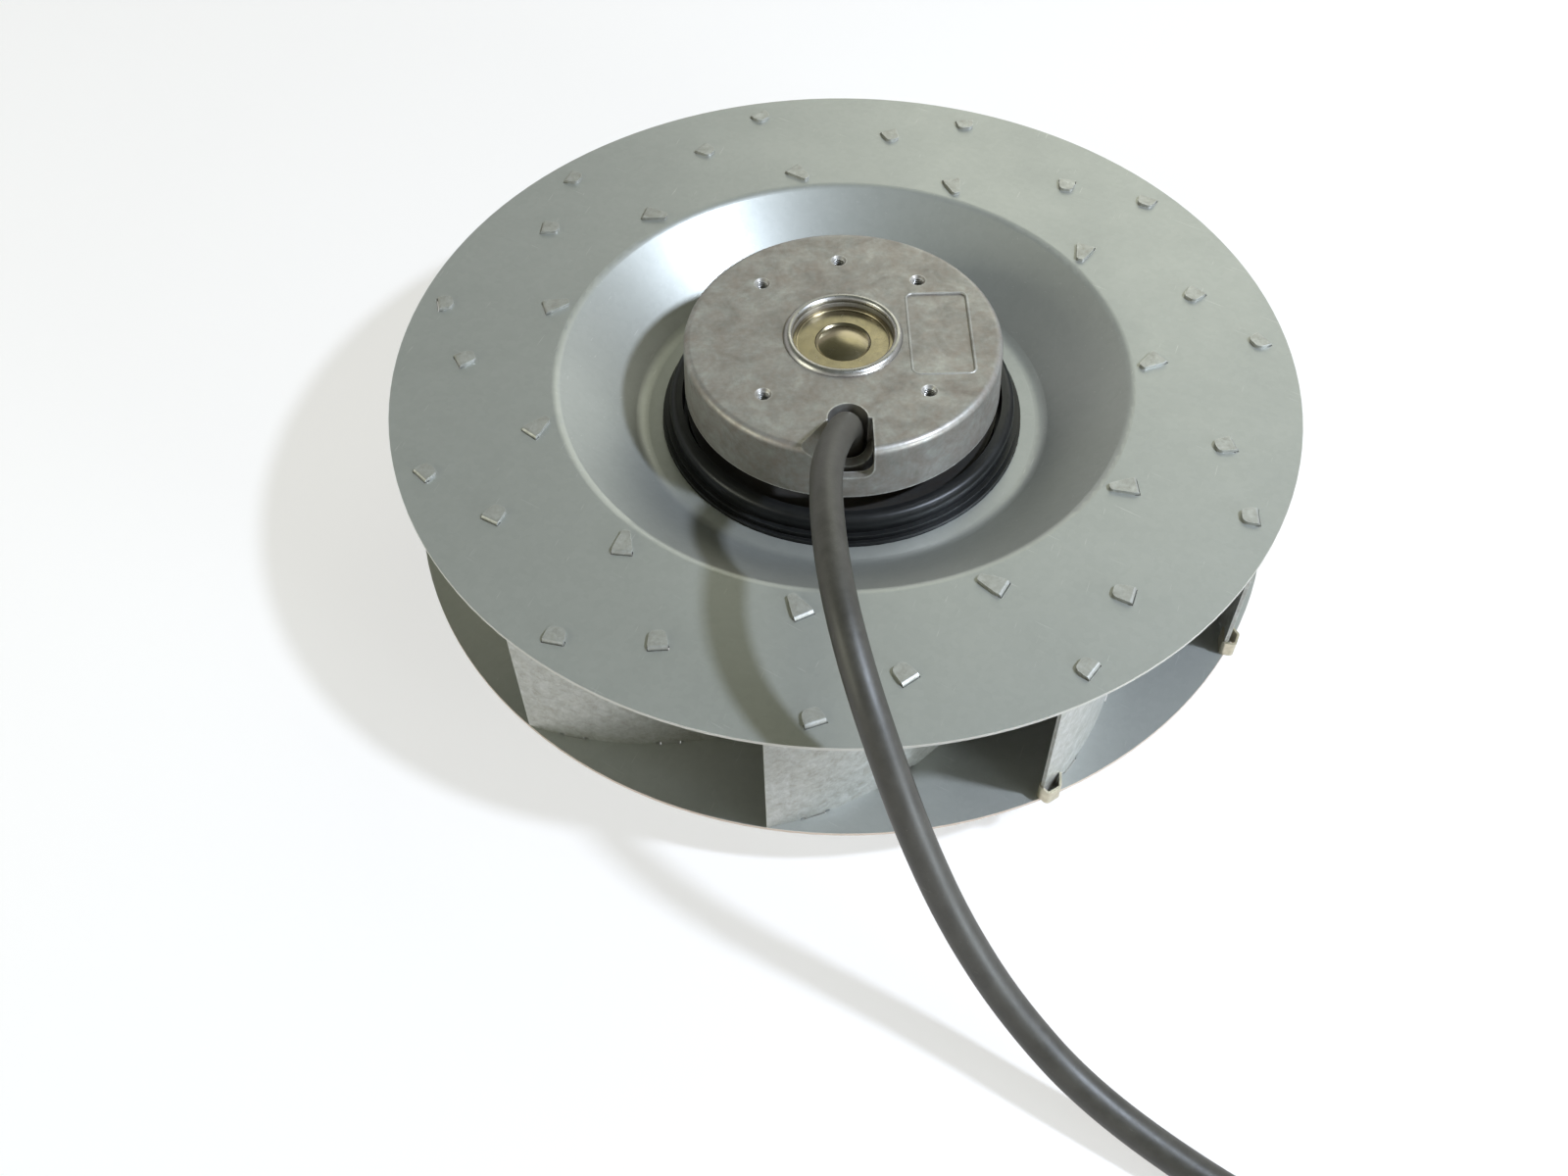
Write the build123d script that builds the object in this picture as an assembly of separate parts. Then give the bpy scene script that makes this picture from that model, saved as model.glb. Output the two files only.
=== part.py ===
from build123d import *
from math import acos, cos, degrees, dist, pi, radians, sin, tan
import os

# A backward-curved centrifugal wheel with an external-rotor motor in its hub, in millimetres.
# It stands on the lip of its inlet collar, its axis is Z, and the motor's fixed flange is on top.
# Seen from above the wheel turns anticlockwise, and the cable leaves towards -Y.

# Wheel: two pressed sheet discs with blades between them
wheel_radius = 125.0
plate_thickness = 1.0
outlet_height = 40.8        # clear height between the two discs
collar_height = 17.2        # from the collar's lip up to the shroud's underside
shroud_inset = 0.9          # shroud's rim inside the back plate's
eye_radius = 78.0           # inside of the inlet collar
shroud_bend_radius = 13.0
cone_width = 22.2           # the back plate's dip towards the rotor, seen from above
cone_top_bend = 3.0
cone_depth = 18.0
cone_foot_margin = 1.5      # flat seat ring beyond the rotor's shoulder
cone_foot_bend = 6.0

# Blades: curved about an upright line that stands beside the wheel's axis
blade_count = 11
blade_thickness = 1.0
blade_arc_radius = 90.0
blade_outlet_angle = 21.76  # between the blade and the rim
blade_first_angle = -42.4
blade_tip_inset = 1.4       # blade's tip inside the back plate's rim
plate_root_margin = 1.8     # blade's root outside the dip
shroud_root_margin = 0.5    # blade's root outside the shroud's bend
tab_bend_radius = 0.9
tab_bend_limit = 0.95       # largest bend radius, as a share of the sheet
tab_end_round = 0.4         # rounding of a tab's corners, as a share of its end width
tab_slot_gap = 0.25         # between a tab and the sides of its slot
tab_relief_width = 1.3      # notches in the blade's edge on both sides of a tab
tab_relief_depth = 0.7

# Tabs: width at the fold, width at the end, folded length
tip_tab = (5.3, 4.3, 3.9)
middle_tab = (4.9, 3.8, 4.8)
plate_root_tab = (5.1, 2.0, 6.9)
shroud_root_tab = (4.9, 3.4, 4.8)
tip_tab_inset = 4.9         # from the blade's tip to the middle of the tab, along the radius
plate_root_tab_inset = 6.7  # from the blade's root
shroud_root_tab_inset = 4.5
plate_middle_share = 0.626  # place of the middle tab on the way from the root tab to the tip tab
shroud_middle_share = 0.475

# Spring clips that balance the wheel, on the outlet edge of two blades
weighted_blades = (blade_count - 1, blade_count)
weight_thickness = 0.6
weight_height = 5.0
weight_leg = 5.0            # flat leg on the blade's hollow side
weight_loop = 6.5           # looped leg on the other side
weight_loop_rise = 2.4
weight_bend_radius = 0.9

# Rotor: a black pot that carries the wheel and the squirrel cage
rotor_floor_thickness = 3.0
rotor_core_width = 10.85    # laminated ring, from the air gap to the pot's wall
rotor_wall = 2.5
rotor_corner_radius = 6.0
rotor_dish_radius = 20.0    # shallow dish in the underside
rotor_dish_depth = 0.8
upper_wall = 3.65           # smooth upper wall of the rotor
ledge_step = 1.3            # ledge beyond the upper wall
spigot_step = 0.95          # spigot beyond the ledge
shoulder_step = 4.85        # shoulder under the wheel's seat ring, beyond the spigot
shoulder_thickness = 3.0
wheel_seat_gap = 0.15       # between the rotor's spigot and the hole in the back plate
spigot_rise = 1.2           # spigot above the seat ring
ledge_rise = 3.0
rotor_flange_gap = 4.2      # between the top of the rotor and the flange's skirt
rotor_top_round = 2.2
cage_bar_count = 22
cage_inner_bridge = 1.85    # iron between the air gap and a cage bar
cage_outer_bridge = 2.0     # iron between a cage bar and the pot's wall
cage_bar_width = 3.4
cage_bar_side_angle = 84.0
cage_ring_height = 4.0
cage_ring_margin = 0.8      # end rings beyond the bars, inwards and outwards
core_fit_gap = 0.05         # between pressed cores, cage bars and what holds them

# Stator
air_gap = 0.35
stator_radius = 34.0
stack_height = 24.0
stack_drop = 21.6           # from the underside of the flange's plate down to the stack
slot_count = 12
yoke_width = 6.5            # iron between the tube and the slots
tooth_width = 6.0
tooth_tip_height = 2.4
slot_mouth_width = 2.4
slot_mouth_overlap = 0.5    # mouth cut beyond the slot and beyond the stack
insulator_thickness = 1.0
insulator_inset = 0.5
winding_gap = 0.35
end_turn_height = 8.5
end_turn_round = 3.0
turn_floor_gap = 1.15       # between the lower end turns and the pot's floor
cutout_length = 11.0
cutout_width = 5.5
cutout_height = 3.2
cutout_round = 1.4
cutout_angle = 150.0

# Flange, the fixed cast part that the fan is screwed up by
flange_stand = 10.6         # face above the back plate
flange_face_radius = 43.6
flange_rim_radius = 44.2
flange_height = 16.4
flange_plate_thickness = 6.0
flange_skirt_wall = 2.7
flange_edge_round = 2.0
screw_circle_radius = 31.0
screw_count = 4
screw_first_angle = 45.0
screw_hole_radius = 1.65    # core hole for an M4 thread
screw_mouth_chamfer = 0.55
screw_boss_radius = 4.3
screw_boss_height = 4.0
earth_angle = 90.0
recess_radius = 13.8
recess_depth = 3.2
recess_chamfer = 0.5
hub_wall = 4.5              # hub beyond the bearing tube
hub_height = 6.0
panel_width = 17.0
panel_length = 32.0
panel_centre_x = 26.5
panel_centre_y = 0.5
panel_depth = 0.4
panel_corner = 2.0
tube_wall = 2.5             # around the bearings
tube_shoulder = 1.5
tube_shelf = 2.0            # wall left between a bearing and the middle of the tube
tube_end_cover = 0.5        # tube below the lower bearing
shaft_end_room = 3.8        # from the upper bearing up to the cap's seat, for the end of the shaft

# Keyhole for the cable, open to the rim
keyhole_radius = 5.3
keyhole_distance = 31.3
keyhole_right = 6.4
keyhole_left = 5.3
keyhole_flare = 11.0        # how far the ramp on the left spreads out by the rim
keyhole_flare_depth = 5.5   # ramp at its deep side
keyhole_drop = 9.4          # slot in the skirt below the face
keyhole_corner = 3.0
cut_past = 1.0              # how far an open cut runs past the faces that it opens
socket_radius = 8.4
socket_depth = 6.6          # below the flange's plate
bush_gap = 0.15
bush_collar_radius = 7.4
bush_collar_thickness = 1.4
bush_rise = 2.0

# Bearings, two of the common 8 x 22 x 7 size
bearing_bore_radius = 4.0
bearing_radius = 11.0
bearing_width = 7.0
ball_radius = 1.985
ball_count = 7
ball_gap = 0.05
land_offset = 1.4           # from the middle of the balls to the shoulders of both rings
ball_cage_width = 1.1
ball_cage_height = 5.0
ball_cage_gap = 0.1
bearing_fit_gap = 0.02
preload_height = 1.2
preload_thickness = 0.4
preload_inner_gap = 0.4     # inside of the spring beyond the tube's shelf
preload_outer_gap = 0.2
lower_bearing_stand = 5.5   # lower bearing above the pot's floor
clip_thickness = 0.8
clip_land_gap = 0.1         # clip inside the inner ring's shoulder
clip_groove_depth = 0.4
clip_gap_width = 3.0
shaft_tail = 1.4            # shaft above the clip
shaft_chamfer = 0.5
shaft_boss_radius = 9.0
shaft_boss_land_gap = 0.3   # tip of the boss inside the inner ring's shoulder
shaft_boss_tip_height = 2.0

# Cap over the upper bearing
cap_thickness = 0.8
cap_fit_gap = 0.1
cap_rim_height = 1.1
cap_step = 0.5              # round the dome, below the cap's flat ring
cap_step_slope = 0.7
cap_dome_radius = 7.0
cap_dome_height = 1.5

# Cable
cable_radius = 4.0
cable_bend_share = 0.45     # of the shorter run, that a bend takes up at each end
core_radius = 0.95
core_offset = 1.35
core_length = 42.0
core_spread = 7.0           # of the two outer cores
core_inner_share = 1 / 3    # spread of the two inner cores, as a share of it
core_bend_share = 1 / 4     # spread reached halfway
core_gap = 0.3              # between the sheath's end and the free cores
floor_gap = 0.1             # under the ferrules
ferrule_sleeve_radius = 1.4
ferrule_sleeve_length = 4.0
ferrule_pin_radius = 0.75
ferrule_pin_length = 8.0
lead_radius = 0.8
lead_count = 4
lead_spacing = 2.2

# Radii that follow from the ones above, outwards from the shaft
ball_pitch_radius = (bearing_bore_radius + bearing_radius) / 2
inner_land_radius = ball_pitch_radius - land_offset
outer_land_radius = ball_pitch_radius + land_offset
clip_radius = inner_land_radius - clip_land_gap
shaft_boss_tip_radius = inner_land_radius - shaft_boss_land_gap
tube_radius = bearing_radius + tube_wall
hub_radius = tube_radius + hub_wall
slot_inner_radius = tube_radius + yoke_width
slot_outer_radius = stator_radius - tooth_tip_height
rotor_core_radius = stator_radius + air_gap
cage_bar_inner_radius = rotor_core_radius + cage_inner_bridge
rotor_bore_radius = rotor_core_radius + rotor_core_width + core_fit_gap
cage_bar_outer_radius = rotor_bore_radius - core_fit_gap - cage_outer_bridge
rotor_radius = rotor_bore_radius + rotor_wall
upper_wall_radius = rotor_bore_radius + upper_wall
ledge_radius = upper_wall_radius + ledge_step
spigot_radius = ledge_radius + spigot_step
shoulder_radius = spigot_radius + shoulder_step
cone_foot_radius = shoulder_radius + cone_foot_margin
cone_top_radius = cone_foot_radius + cone_width
shroud_radius = wheel_radius - shroud_inset
blade_tip_radius = wheel_radius - blade_tip_inset
blade_root_upper_radius = cone_top_radius + plate_root_margin
blade_root_lower_radius = eye_radius + plate_thickness + shroud_bend_radius + shroud_root_margin

# Distance from the wheel's axis to the middle of each blade's curve
blade_arc_offset = (blade_tip_radius**2 + blade_arc_radius**2
                    - 2 * blade_tip_radius * blade_arc_radius * cos(radians(blade_outlet_angle)))**0.5

# Heights above the collar's lip: the wheel, then the motor from its flange down
shroud_top = collar_height + plate_thickness
plate_bottom = shroud_top + outlet_height
plate_top = plate_bottom + plate_thickness
seat_top = plate_top - cone_depth
seat_bottom = seat_top - plate_thickness
flange_face = plate_top + flange_stand
flange_rim = flange_face - flange_height
flange_under = flange_face - flange_plate_thickness
recess_floor = flange_face - recess_depth
upper_bearing_top = recess_floor - shaft_end_room
upper_bearing_bottom = upper_bearing_top - bearing_width
clip_bottom = upper_bearing_top + bearing_fit_gap
stack_top = flange_under - stack_drop
stack_bottom = stack_top - stack_height
upper_turn_bottom = stack_top + insulator_thickness + winding_gap
upper_turn_top = upper_turn_bottom + end_turn_height
lower_turn_top = stack_bottom - insulator_thickness - winding_gap
lower_turn_bottom = lower_turn_top - end_turn_height
pot_top = flange_rim - rotor_flange_gap
pot_inner_floor = lower_turn_bottom - turn_floor_gap
rotor_floor = pot_inner_floor - rotor_floor_thickness
lower_bearing_bottom = pot_inner_floor + lower_bearing_stand
lower_bearing_top = lower_bearing_bottom + bearing_width
socket_bottom = flange_under - socket_depth
cable_start = socket_bottom + bush_rise

# Route of the cable: up out of the keyhole, over the wheel clear of the tabs, down to the floor
# and round in half a turn to its bare end
cable_route = [
    (0.3, -31.8, cable_start),
    (0.3, -31.8, 69.6),
    (-3.1, -44.0, 78.0),
    (-6.8, -60.0, 84.5),
    (-7.5, -80.0, 90.0),
    (-6.2, -101.0, 91.0),
    (-2.4, -120.0, 86.0),
    (3.7, -136.0, 74.0),
    (10.7, -148.5, 58.0),
    (19.9, -159.5, 39.0),
    (32.3, -172.0, 22.0),
    (49.5, -188.0, 10.0),
    (76.0, -207.0, 4.4),
    (103.0, -223.0, 4.0),
    (122.0, -246.0, 4.2),
    (126.5, -274.0, 4.0),
    (115.0, -299.5, 4.2),
    (91.0, -314.0, 4.0),
]


def turned(points):
    """Solid of revolution about the axis from an outline of (radius, height) points."""
    return revolve(Plane.XZ * make_face(Polyline(*points, close=True)), Axis.Z)


def ring(outer, inner, low, high):
    """Plain ring between two heights."""
    return Pos(0, 0, low) * extrude(Circle(outer) - Circle(inner), amount=high - low)


def sheet_ring(points, radii, thickness):
    """Pressed sheet turned about the axis, from the middle line of its section."""
    return revolve(Plane.XZ * trace(FilletPolyline(*points, radius=radii), thickness), Axis.Z)


def polar(radius, angle, height=0.0):
    """Place on a circle round the axis, turned so that local X points outwards."""
    return Rot(0, 0, angle) * Pos(radius, 0, height)


def blade_angle(radius):
    """Angle about the middle of the blade's curve of the point at a distance from the axis."""
    side = radius**2 - blade_arc_offset**2 - blade_arc_radius**2
    return degrees(acos(side / (2 * blade_arc_offset * blade_arc_radius)))


def blade_place(radius, height):
    """Place on the blade's curve, with X along the blade and Y towards its hollow side."""
    angle = blade_angle(radius)
    x = blade_arc_offset + blade_arc_radius * cos(radians(angle))
    y = blade_arc_radius * sin(radians(angle))
    return Pos(x, y, height) * Rot(0, 0, angle + 90)


def tab_stations(root, root_inset, middle_share):
    """Distances from the axis of the tip, middle and root tab along one edge of a blade."""
    last = blade_tip_radius - tip_tab_inset
    first = root + root_inset
    return [last, first + middle_share * (last - first), first]


def plate_tabs():
    """Distance and sizes of each tab through the back plate."""
    stations = tab_stations(blade_root_upper_radius, plate_root_tab_inset, plate_middle_share)
    return list(zip(stations, [tip_tab, middle_tab, plate_root_tab]))


def shroud_tabs():
    """Distance and sizes of each tab through the shroud."""
    stations = tab_stations(blade_root_lower_radius, shroud_root_tab_inset, shroud_middle_share)
    return list(zip(stations, [tip_tab, middle_tab, shroud_root_tab]))


def folded_tab(width, end_width, length):
    """Tab that passes through a disc and is folded flat on its far side."""
    half = blade_thickness / 2
    top = plate_thickness + blade_thickness
    side = make_face(Polyline((-half, 0), (-half, top), (length, top), (length, plate_thickness),
                              (half, plate_thickness), (half, 0), close=True))
    corner = side.vertices().group_by(Axis.Y)[-1].sort_by(Axis.X)[0]
    side = fillet(corner, min(tab_bend_radius, tab_bend_limit * blade_thickness))
    strip = extrude(Plane.YZ * side, amount=width / 2, both=True)
    plan = make_face(Polyline((-width / 2, -half), (width / 2, -half), (width / 2, blade_thickness),
                              (end_width / 2, length), (-end_width / 2, length),
                              (-width / 2, blade_thickness), close=True))
    plan = fillet(plan.vertices().group_by(Axis.Y)[-1], tab_end_round * end_width)
    return strip & extrude(plan, amount=top)


def tab_reliefs(radius, width, height):
    """Notches through the blade beside a tab, standing on a height."""
    notch = Box(tab_relief_width, 2 * blade_thickness, tab_relief_depth,
                align=(Align.CENTER, Align.CENTER, Align.MIN))
    reach = (width + tab_relief_width) / 2
    return [blade_place(radius, height) * Pos(side * reach, 0, 0) * notch for side in (-1, 1)]


def blade():
    """One blade with its folded tabs, before it is turned to its place."""
    tip = blade_angle(blade_tip_radius)
    root = blade_angle(blade_root_upper_radius - blade_thickness)
    line = CenterArc((blade_arc_offset, 0), blade_arc_radius, tip, root - tip)
    body = Pos(0, 0, shroud_top) * extrude(trace(line, blade_thickness), amount=outlet_height)
    body -= Pos(0, 0, shroud_top) * Cone(blade_root_lower_radius, blade_root_upper_radius, outlet_height,
                                         align=(Align.CENTER, Align.CENTER, Align.MIN))
    for radius, sizes in plate_tabs():
        body -= tab_reliefs(radius, sizes[0], plate_bottom - tab_relief_depth)
        body += blade_place(radius, plate_bottom) * folded_tab(*sizes)
    for radius, sizes in shroud_tabs():
        body -= tab_reliefs(radius, sizes[0], shroud_top)
        body += blade_place(radius, shroud_top) * mirror(folded_tab(*sizes), about=Plane.XY)
    return body


def blade_turn(index):
    """Turn of one blade about the wheel's axis."""
    return Rot(0, 0, blade_first_angle + index * 360 / blade_count)


def tab_slots(tabs, low):
    """Slots through a disc for every blade's tabs."""
    slots = []
    for radius, sizes in tabs:
        slot = Box(sizes[0] + 2 * tab_slot_gap, blade_thickness + 2 * tab_slot_gap, plate_thickness,
                   align=(Align.CENTER, Align.CENTER, Align.MIN))
        for index in range(blade_count):
            slots.append(blade_turn(index) * blade_place(radius, low) * slot)
    return slots


def back_plate():
    """Upper disc, dipped in a cone to the flat ring that sits on the rotor."""
    half = plate_thickness / 2
    points = [(wheel_radius, plate_top - half), (cone_top_radius, plate_top - half),
              (cone_foot_radius, seat_top - half), (spigot_radius + wheel_seat_gap, seat_top - half)]
    sheet = sheet_ring(points, [cone_top_bend, cone_foot_bend], plate_thickness)
    return sheet - tab_slots(plate_tabs(), plate_bottom)


def inlet_shroud():
    """Lower disc, curved down into the inlet collar that the wheel stands on."""
    half = plate_thickness / 2
    collar = eye_radius + half
    points = [(shroud_radius, shroud_top - half), (collar, shroud_top - half), (collar, 0)]
    sheet = sheet_ring(points, [shroud_bend_radius], plate_thickness)
    return sheet - tab_slots(shroud_tabs(), collar_height)


def balance_weight(clipped_blade):
    """Spring clip round a blade's outlet edge: a flat leg on the hollow side, a loop on the other."""
    tip = blade_angle(blade_tip_radius)
    rest = (blade_thickness + weight_thickness) / 2

    def spot(offset, distance):
        angle = radians(tip + degrees(distance / blade_arc_radius))
        reach = blade_arc_radius + offset
        return blade_arc_offset + reach * cos(angle), reach * sin(angle)

    edge = -weight_thickness / 2
    line = FilletPolyline(spot(-rest, weight_leg), spot(-rest, edge), spot(weight_loop_rise, edge),
                          spot(weight_loop_rise + rest, weight_loop / 2), spot(rest, weight_loop),
                          radius=weight_bend_radius)
    clip = Pos(0, 0, shroud_top) * extrude(trace(line, weight_thickness), amount=weight_height)
    return clip - clipped_blade


def rotor_pot():
    """Pot with the shoulder, spigot and ledge that carry the wheel, and the shaft's boss inside."""
    boss_shoulder = lower_bearing_bottom - shaft_boss_tip_height
    shaft_hole = bearing_bore_radius + bearing_fit_gap
    shoulder_bottom = seat_bottom - shoulder_thickness
    dish_floor = rotor_floor + rotor_dish_depth
    points = [(shaft_hole, dish_floor), (rotor_dish_radius, dish_floor),
              (rotor_dish_radius + rotor_dish_depth, rotor_floor), (rotor_radius, rotor_floor),
              (rotor_radius, shoulder_bottom), (shoulder_radius, shoulder_bottom),
              (shoulder_radius, seat_bottom), (spigot_radius, seat_bottom),
              (spigot_radius, seat_top + spigot_rise), (ledge_radius, seat_top + spigot_rise),
              (ledge_radius, seat_top + ledge_rise), (upper_wall_radius, seat_top + ledge_rise),
              (upper_wall_radius, pot_top), (rotor_bore_radius, pot_top),
              (rotor_bore_radius, pot_inner_floor), (shaft_boss_radius, pot_inner_floor),
              (shaft_boss_radius, boss_shoulder), (shaft_boss_tip_radius, boss_shoulder),
              (shaft_boss_tip_radius, lower_bearing_bottom), (shaft_hole, lower_bearing_bottom)]
    section = make_face(Polyline(*points, close=True))
    lower_corner = section.vertices().sort_by_distance((rotor_radius, rotor_floor))[0]
    section = fillet(lower_corner, rotor_corner_radius)
    upper_corner = section.vertices().sort_by_distance((upper_wall_radius, pot_top))[0]
    return revolve(Plane.XZ * fillet(upper_corner, rotor_top_round), Axis.Z)


def bar_section(widen=0.0):
    """Section of one cage bar, or of the slot that it fills."""
    length = cage_bar_outer_radius - cage_bar_inner_radius + 2 * widen
    middle = (cage_bar_outer_radius + cage_bar_inner_radius) / 2
    return Pos(middle, 0) * Trapezoid(cage_bar_width + 2 * widen, length, cage_bar_side_angle, rotation=90)


def rotor_core():
    """Laminated ring with closed slots for the cage bars."""
    section = Circle(rotor_bore_radius - core_fit_gap) - Circle(rotor_core_radius)
    section -= PolarLocations(0, cage_bar_count) * bar_section(core_fit_gap)
    return Pos(0, 0, stack_bottom) * extrude(section, amount=stack_height)


def rotor_cage():
    """Cast squirrel cage: bars through the core, joined by a ring at each end."""
    sections = Sketch() + PolarLocations(0, cage_bar_count) * bar_section()
    bars = extrude(sections, amount=stack_height)
    outer = cage_bar_outer_radius + cage_ring_margin
    inner = cage_bar_inner_radius - cage_ring_margin
    upper = ring(outer, inner, stack_top, stack_top + cage_ring_height)
    lower = ring(outer, inner, stack_bottom - cage_ring_height, stack_bottom)
    return Pos(0, 0, stack_bottom) * bars + upper + lower


def slot_section(shrink=0.0):
    """Section of one winding slot between two straight teeth, or of the wire that fills it."""
    inner = slot_inner_radius + shrink
    outer = slot_outer_radius - shrink
    half_inner = inner * tan(pi / slot_count) - tooth_width / 2 - shrink
    half_outer = outer * tan(pi / slot_count) - tooth_width / 2 - shrink
    return make_face(Polyline((inner, -half_inner), (outer, -half_outer), (outer, half_outer),
                              (inner, half_inner), close=True))


def lamination(outer):
    """Section of the toothed stator stack."""
    section = Circle(outer) - Circle(tube_radius + core_fit_gap)
    mouth_length = tooth_tip_height + 2 * slot_mouth_overlap
    mouth = Pos(slot_outer_radius + tooth_tip_height / 2, 0) * Rectangle(mouth_length, slot_mouth_width)
    return section - PolarLocations(0, slot_count) * (slot_section() + mouth)


def stator_core():
    return Pos(0, 0, stack_bottom) * extrude(lamination(stator_radius), amount=stack_height)


def insulator(low):
    """End plate that keeps the winding off the stack."""
    plate = extrude(lamination(stator_radius - insulator_inset), amount=insulator_thickness)
    opening = extrude(Circle(tube_radius + tube_shoulder + 2 * core_fit_gap), amount=insulator_thickness)
    return Pos(0, 0, low) * (plate - opening)


def end_turns(low):
    """Ring of lacquered wire at one end of the stack."""
    width = slot_outer_radius - slot_inner_radius
    middle = Pos((slot_outer_radius + slot_inner_radius) / 2, low + end_turn_height / 2)
    section = middle * RectangleRounded(width, end_turn_height, end_turn_round)
    return revolve(Plane.XZ * section, Axis.Z)


def stator_winding():
    """Wire in every slot, joined at both ends by the end turns."""
    height = upper_turn_bottom - lower_turn_top + 2 * end_turn_round
    sections = Sketch() + PolarLocations(0, slot_count) * slot_section(winding_gap)
    wires = extrude(sections, amount=height)
    wires = Pos(0, 0, lower_turn_top - end_turn_round) * wires
    return wires + end_turns(upper_turn_bottom) + end_turns(lower_turn_bottom)


def thermal_cutout():
    """Small protector that lies on the upper end turns."""
    middle = (slot_inner_radius + slot_outer_radius) / 2
    body = Box(cutout_width, cutout_length, cutout_height, align=(Align.CENTER, Align.CENTER, Align.MIN))
    body = fillet(body.edges().filter_by(Axis.Z), cutout_round)
    return polar(middle, cutout_angle, upper_turn_top) * body


def keyhole_ramp():
    """Ramp that starts at the keyhole's round end and gets wider and deeper towards the rim."""
    reach = flange_rim_radius + cut_past
    mouth = make_face(Polyline((-keyhole_left - keyhole_flare, -reach, flange_face),
                               (0, -reach, flange_face),
                               (0, -reach, flange_face - keyhole_flare_depth),
                               (-keyhole_left, -reach, flange_face - keyhole_flare_depth), close=True))
    return loft([mouth, Vertex(-keyhole_left, -keyhole_distance, flange_face)])


def keyhole():
    """Everything cut out of the flange for the cable."""
    reach = flange_rim_radius + cut_past
    outline = make_face(Polyline((keyhole_right, -keyhole_distance), (keyhole_right, -reach),
                                 (-keyhole_left, -reach), (-keyhole_left, -keyhole_distance), close=True))
    opening = outline + Pos(0, -keyhole_distance) * Circle(keyhole_radius)
    through = extrude(opening, amount=flange_plate_thickness + 2 * cut_past)
    through = Pos(0, 0, flange_under - cut_past) * through
    bore = Pos(0, -keyhole_distance, socket_bottom) * Cylinder(
        keyhole_radius, socket_depth, align=(Align.CENTER, Align.CENTER, Align.MIN))
    width = keyhole_right + keyhole_left
    drop = keyhole_drop + keyhole_corner
    window = Plane.XZ * (Pos((keyhole_right - keyhole_left) / 2, flange_face - keyhole_drop + drop / 2)
                         * RectangleRounded(width, drop, keyhole_corner))
    skirt_slot = Pos(0, -keyhole_distance, 0) * extrude(window, amount=reach - keyhole_distance)
    return through + bore + skirt_slot + keyhole_ramp()


def screw_hole(radius, angle):
    """Tapped hole with a chamfered mouth, through the plate and its boss."""
    depth = flange_plate_thickness + screw_boss_height
    hole = Pos(0, 0, -depth / 2) * Cylinder(screw_hole_radius, depth)
    mouth = Pos(0, 0, -screw_mouth_chamfer / 2) * Cone(
        screw_hole_radius, screw_hole_radius + screw_mouth_chamfer, screw_mouth_chamfer)
    return polar(radius, angle, flange_face) * (hole + mouth)


def screw_angles():
    """Angles of the four fixing screws and the earth screw."""
    spaced = [screw_first_angle + index * 360 / screw_count for index in range(screw_count)]
    return spaced + [earth_angle]


def stator_flange():
    """Cast cup: face, skirt, hub and the tube that holds the bearings and the stack."""
    skirt_inner = flange_rim_radius - flange_skirt_wall
    neck = tube_radius + tube_shoulder
    tube_bottom = lower_bearing_bottom - tube_end_cover
    hub_bottom = flange_under - hub_height
    points = [(0, flange_face), (flange_face_radius, flange_face), (flange_rim_radius, flange_rim),
              (skirt_inner, flange_rim), (skirt_inner, flange_under), (hub_radius, flange_under),
              (hub_radius, hub_bottom), (neck, hub_bottom), (neck, stack_top), (tube_radius, stack_top),
              (tube_radius, tube_bottom), (0, tube_bottom)]
    section = make_face(Polyline(*points, close=True))
    corner = section.vertices().sort_by_distance((flange_face_radius, flange_face))[0]
    body = revolve(Plane.XZ * fillet(corner, flange_edge_round), Axis.Z)
    for angle in screw_angles():
        body += polar(screw_circle_radius, angle, flange_under - screw_boss_height) * Cylinder(
            screw_boss_radius, screw_boss_height, align=(Align.CENTER, Align.CENTER, Align.MIN))
    body += Pos(0, -keyhole_distance, socket_bottom) * Cylinder(
        socket_radius, socket_depth, align=(Align.CENTER, Align.CENTER, Align.MIN))
    for angle in screw_angles():
        body -= screw_hole(screw_circle_radius, angle)
    seat = bearing_radius + bearing_fit_gap
    shelf = bearing_radius - tube_shelf
    body -= turned([(0, flange_face), (recess_radius + recess_chamfer, flange_face),
                    (recess_radius, flange_face - recess_chamfer), (recess_radius, recess_floor),
                    (seat, recess_floor), (seat, upper_bearing_bottom - preload_height),
                    (shelf, upper_bearing_bottom - preload_height), (shelf, lower_bearing_top),
                    (seat, lower_bearing_top), (seat, tube_bottom), (0, tube_bottom)])
    panel = Pos(panel_centre_x, panel_centre_y, flange_face - panel_depth) * extrude(
        RectangleRounded(panel_width, panel_length, panel_corner), amount=panel_depth)
    return body - panel - keyhole()


def bearing_cap():
    """Pressed cap in the flange's recess: a flat ring, a step down and a dome over the shaft's end."""
    half = cap_thickness / 2
    rim = recess_radius - cap_fit_gap - half
    low = recess_floor + half
    foot = low - cap_step
    line = FilletPolyline((rim, low + cap_rim_height), (rim, low), (cap_dome_radius + cap_step_slope, low),
                          radius=cap_thickness)
    step = Line((cap_dome_radius + cap_step_slope, low), (cap_dome_radius, foot))
    dome_curve = (cap_dome_radius**2 + cap_dome_height**2) / (2 * cap_dome_height)
    half_angle = degrees(acos(1 - cap_dome_height / dome_curve))
    dome = CenterArc((0, foot + cap_dome_height - dome_curve), dome_curve, 90 - half_angle, half_angle)
    section = trace(line, cap_thickness) + trace(step, cap_thickness) + trace(dome, cap_thickness)
    return revolve(Plane.XZ * section, Axis.Z)


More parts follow.
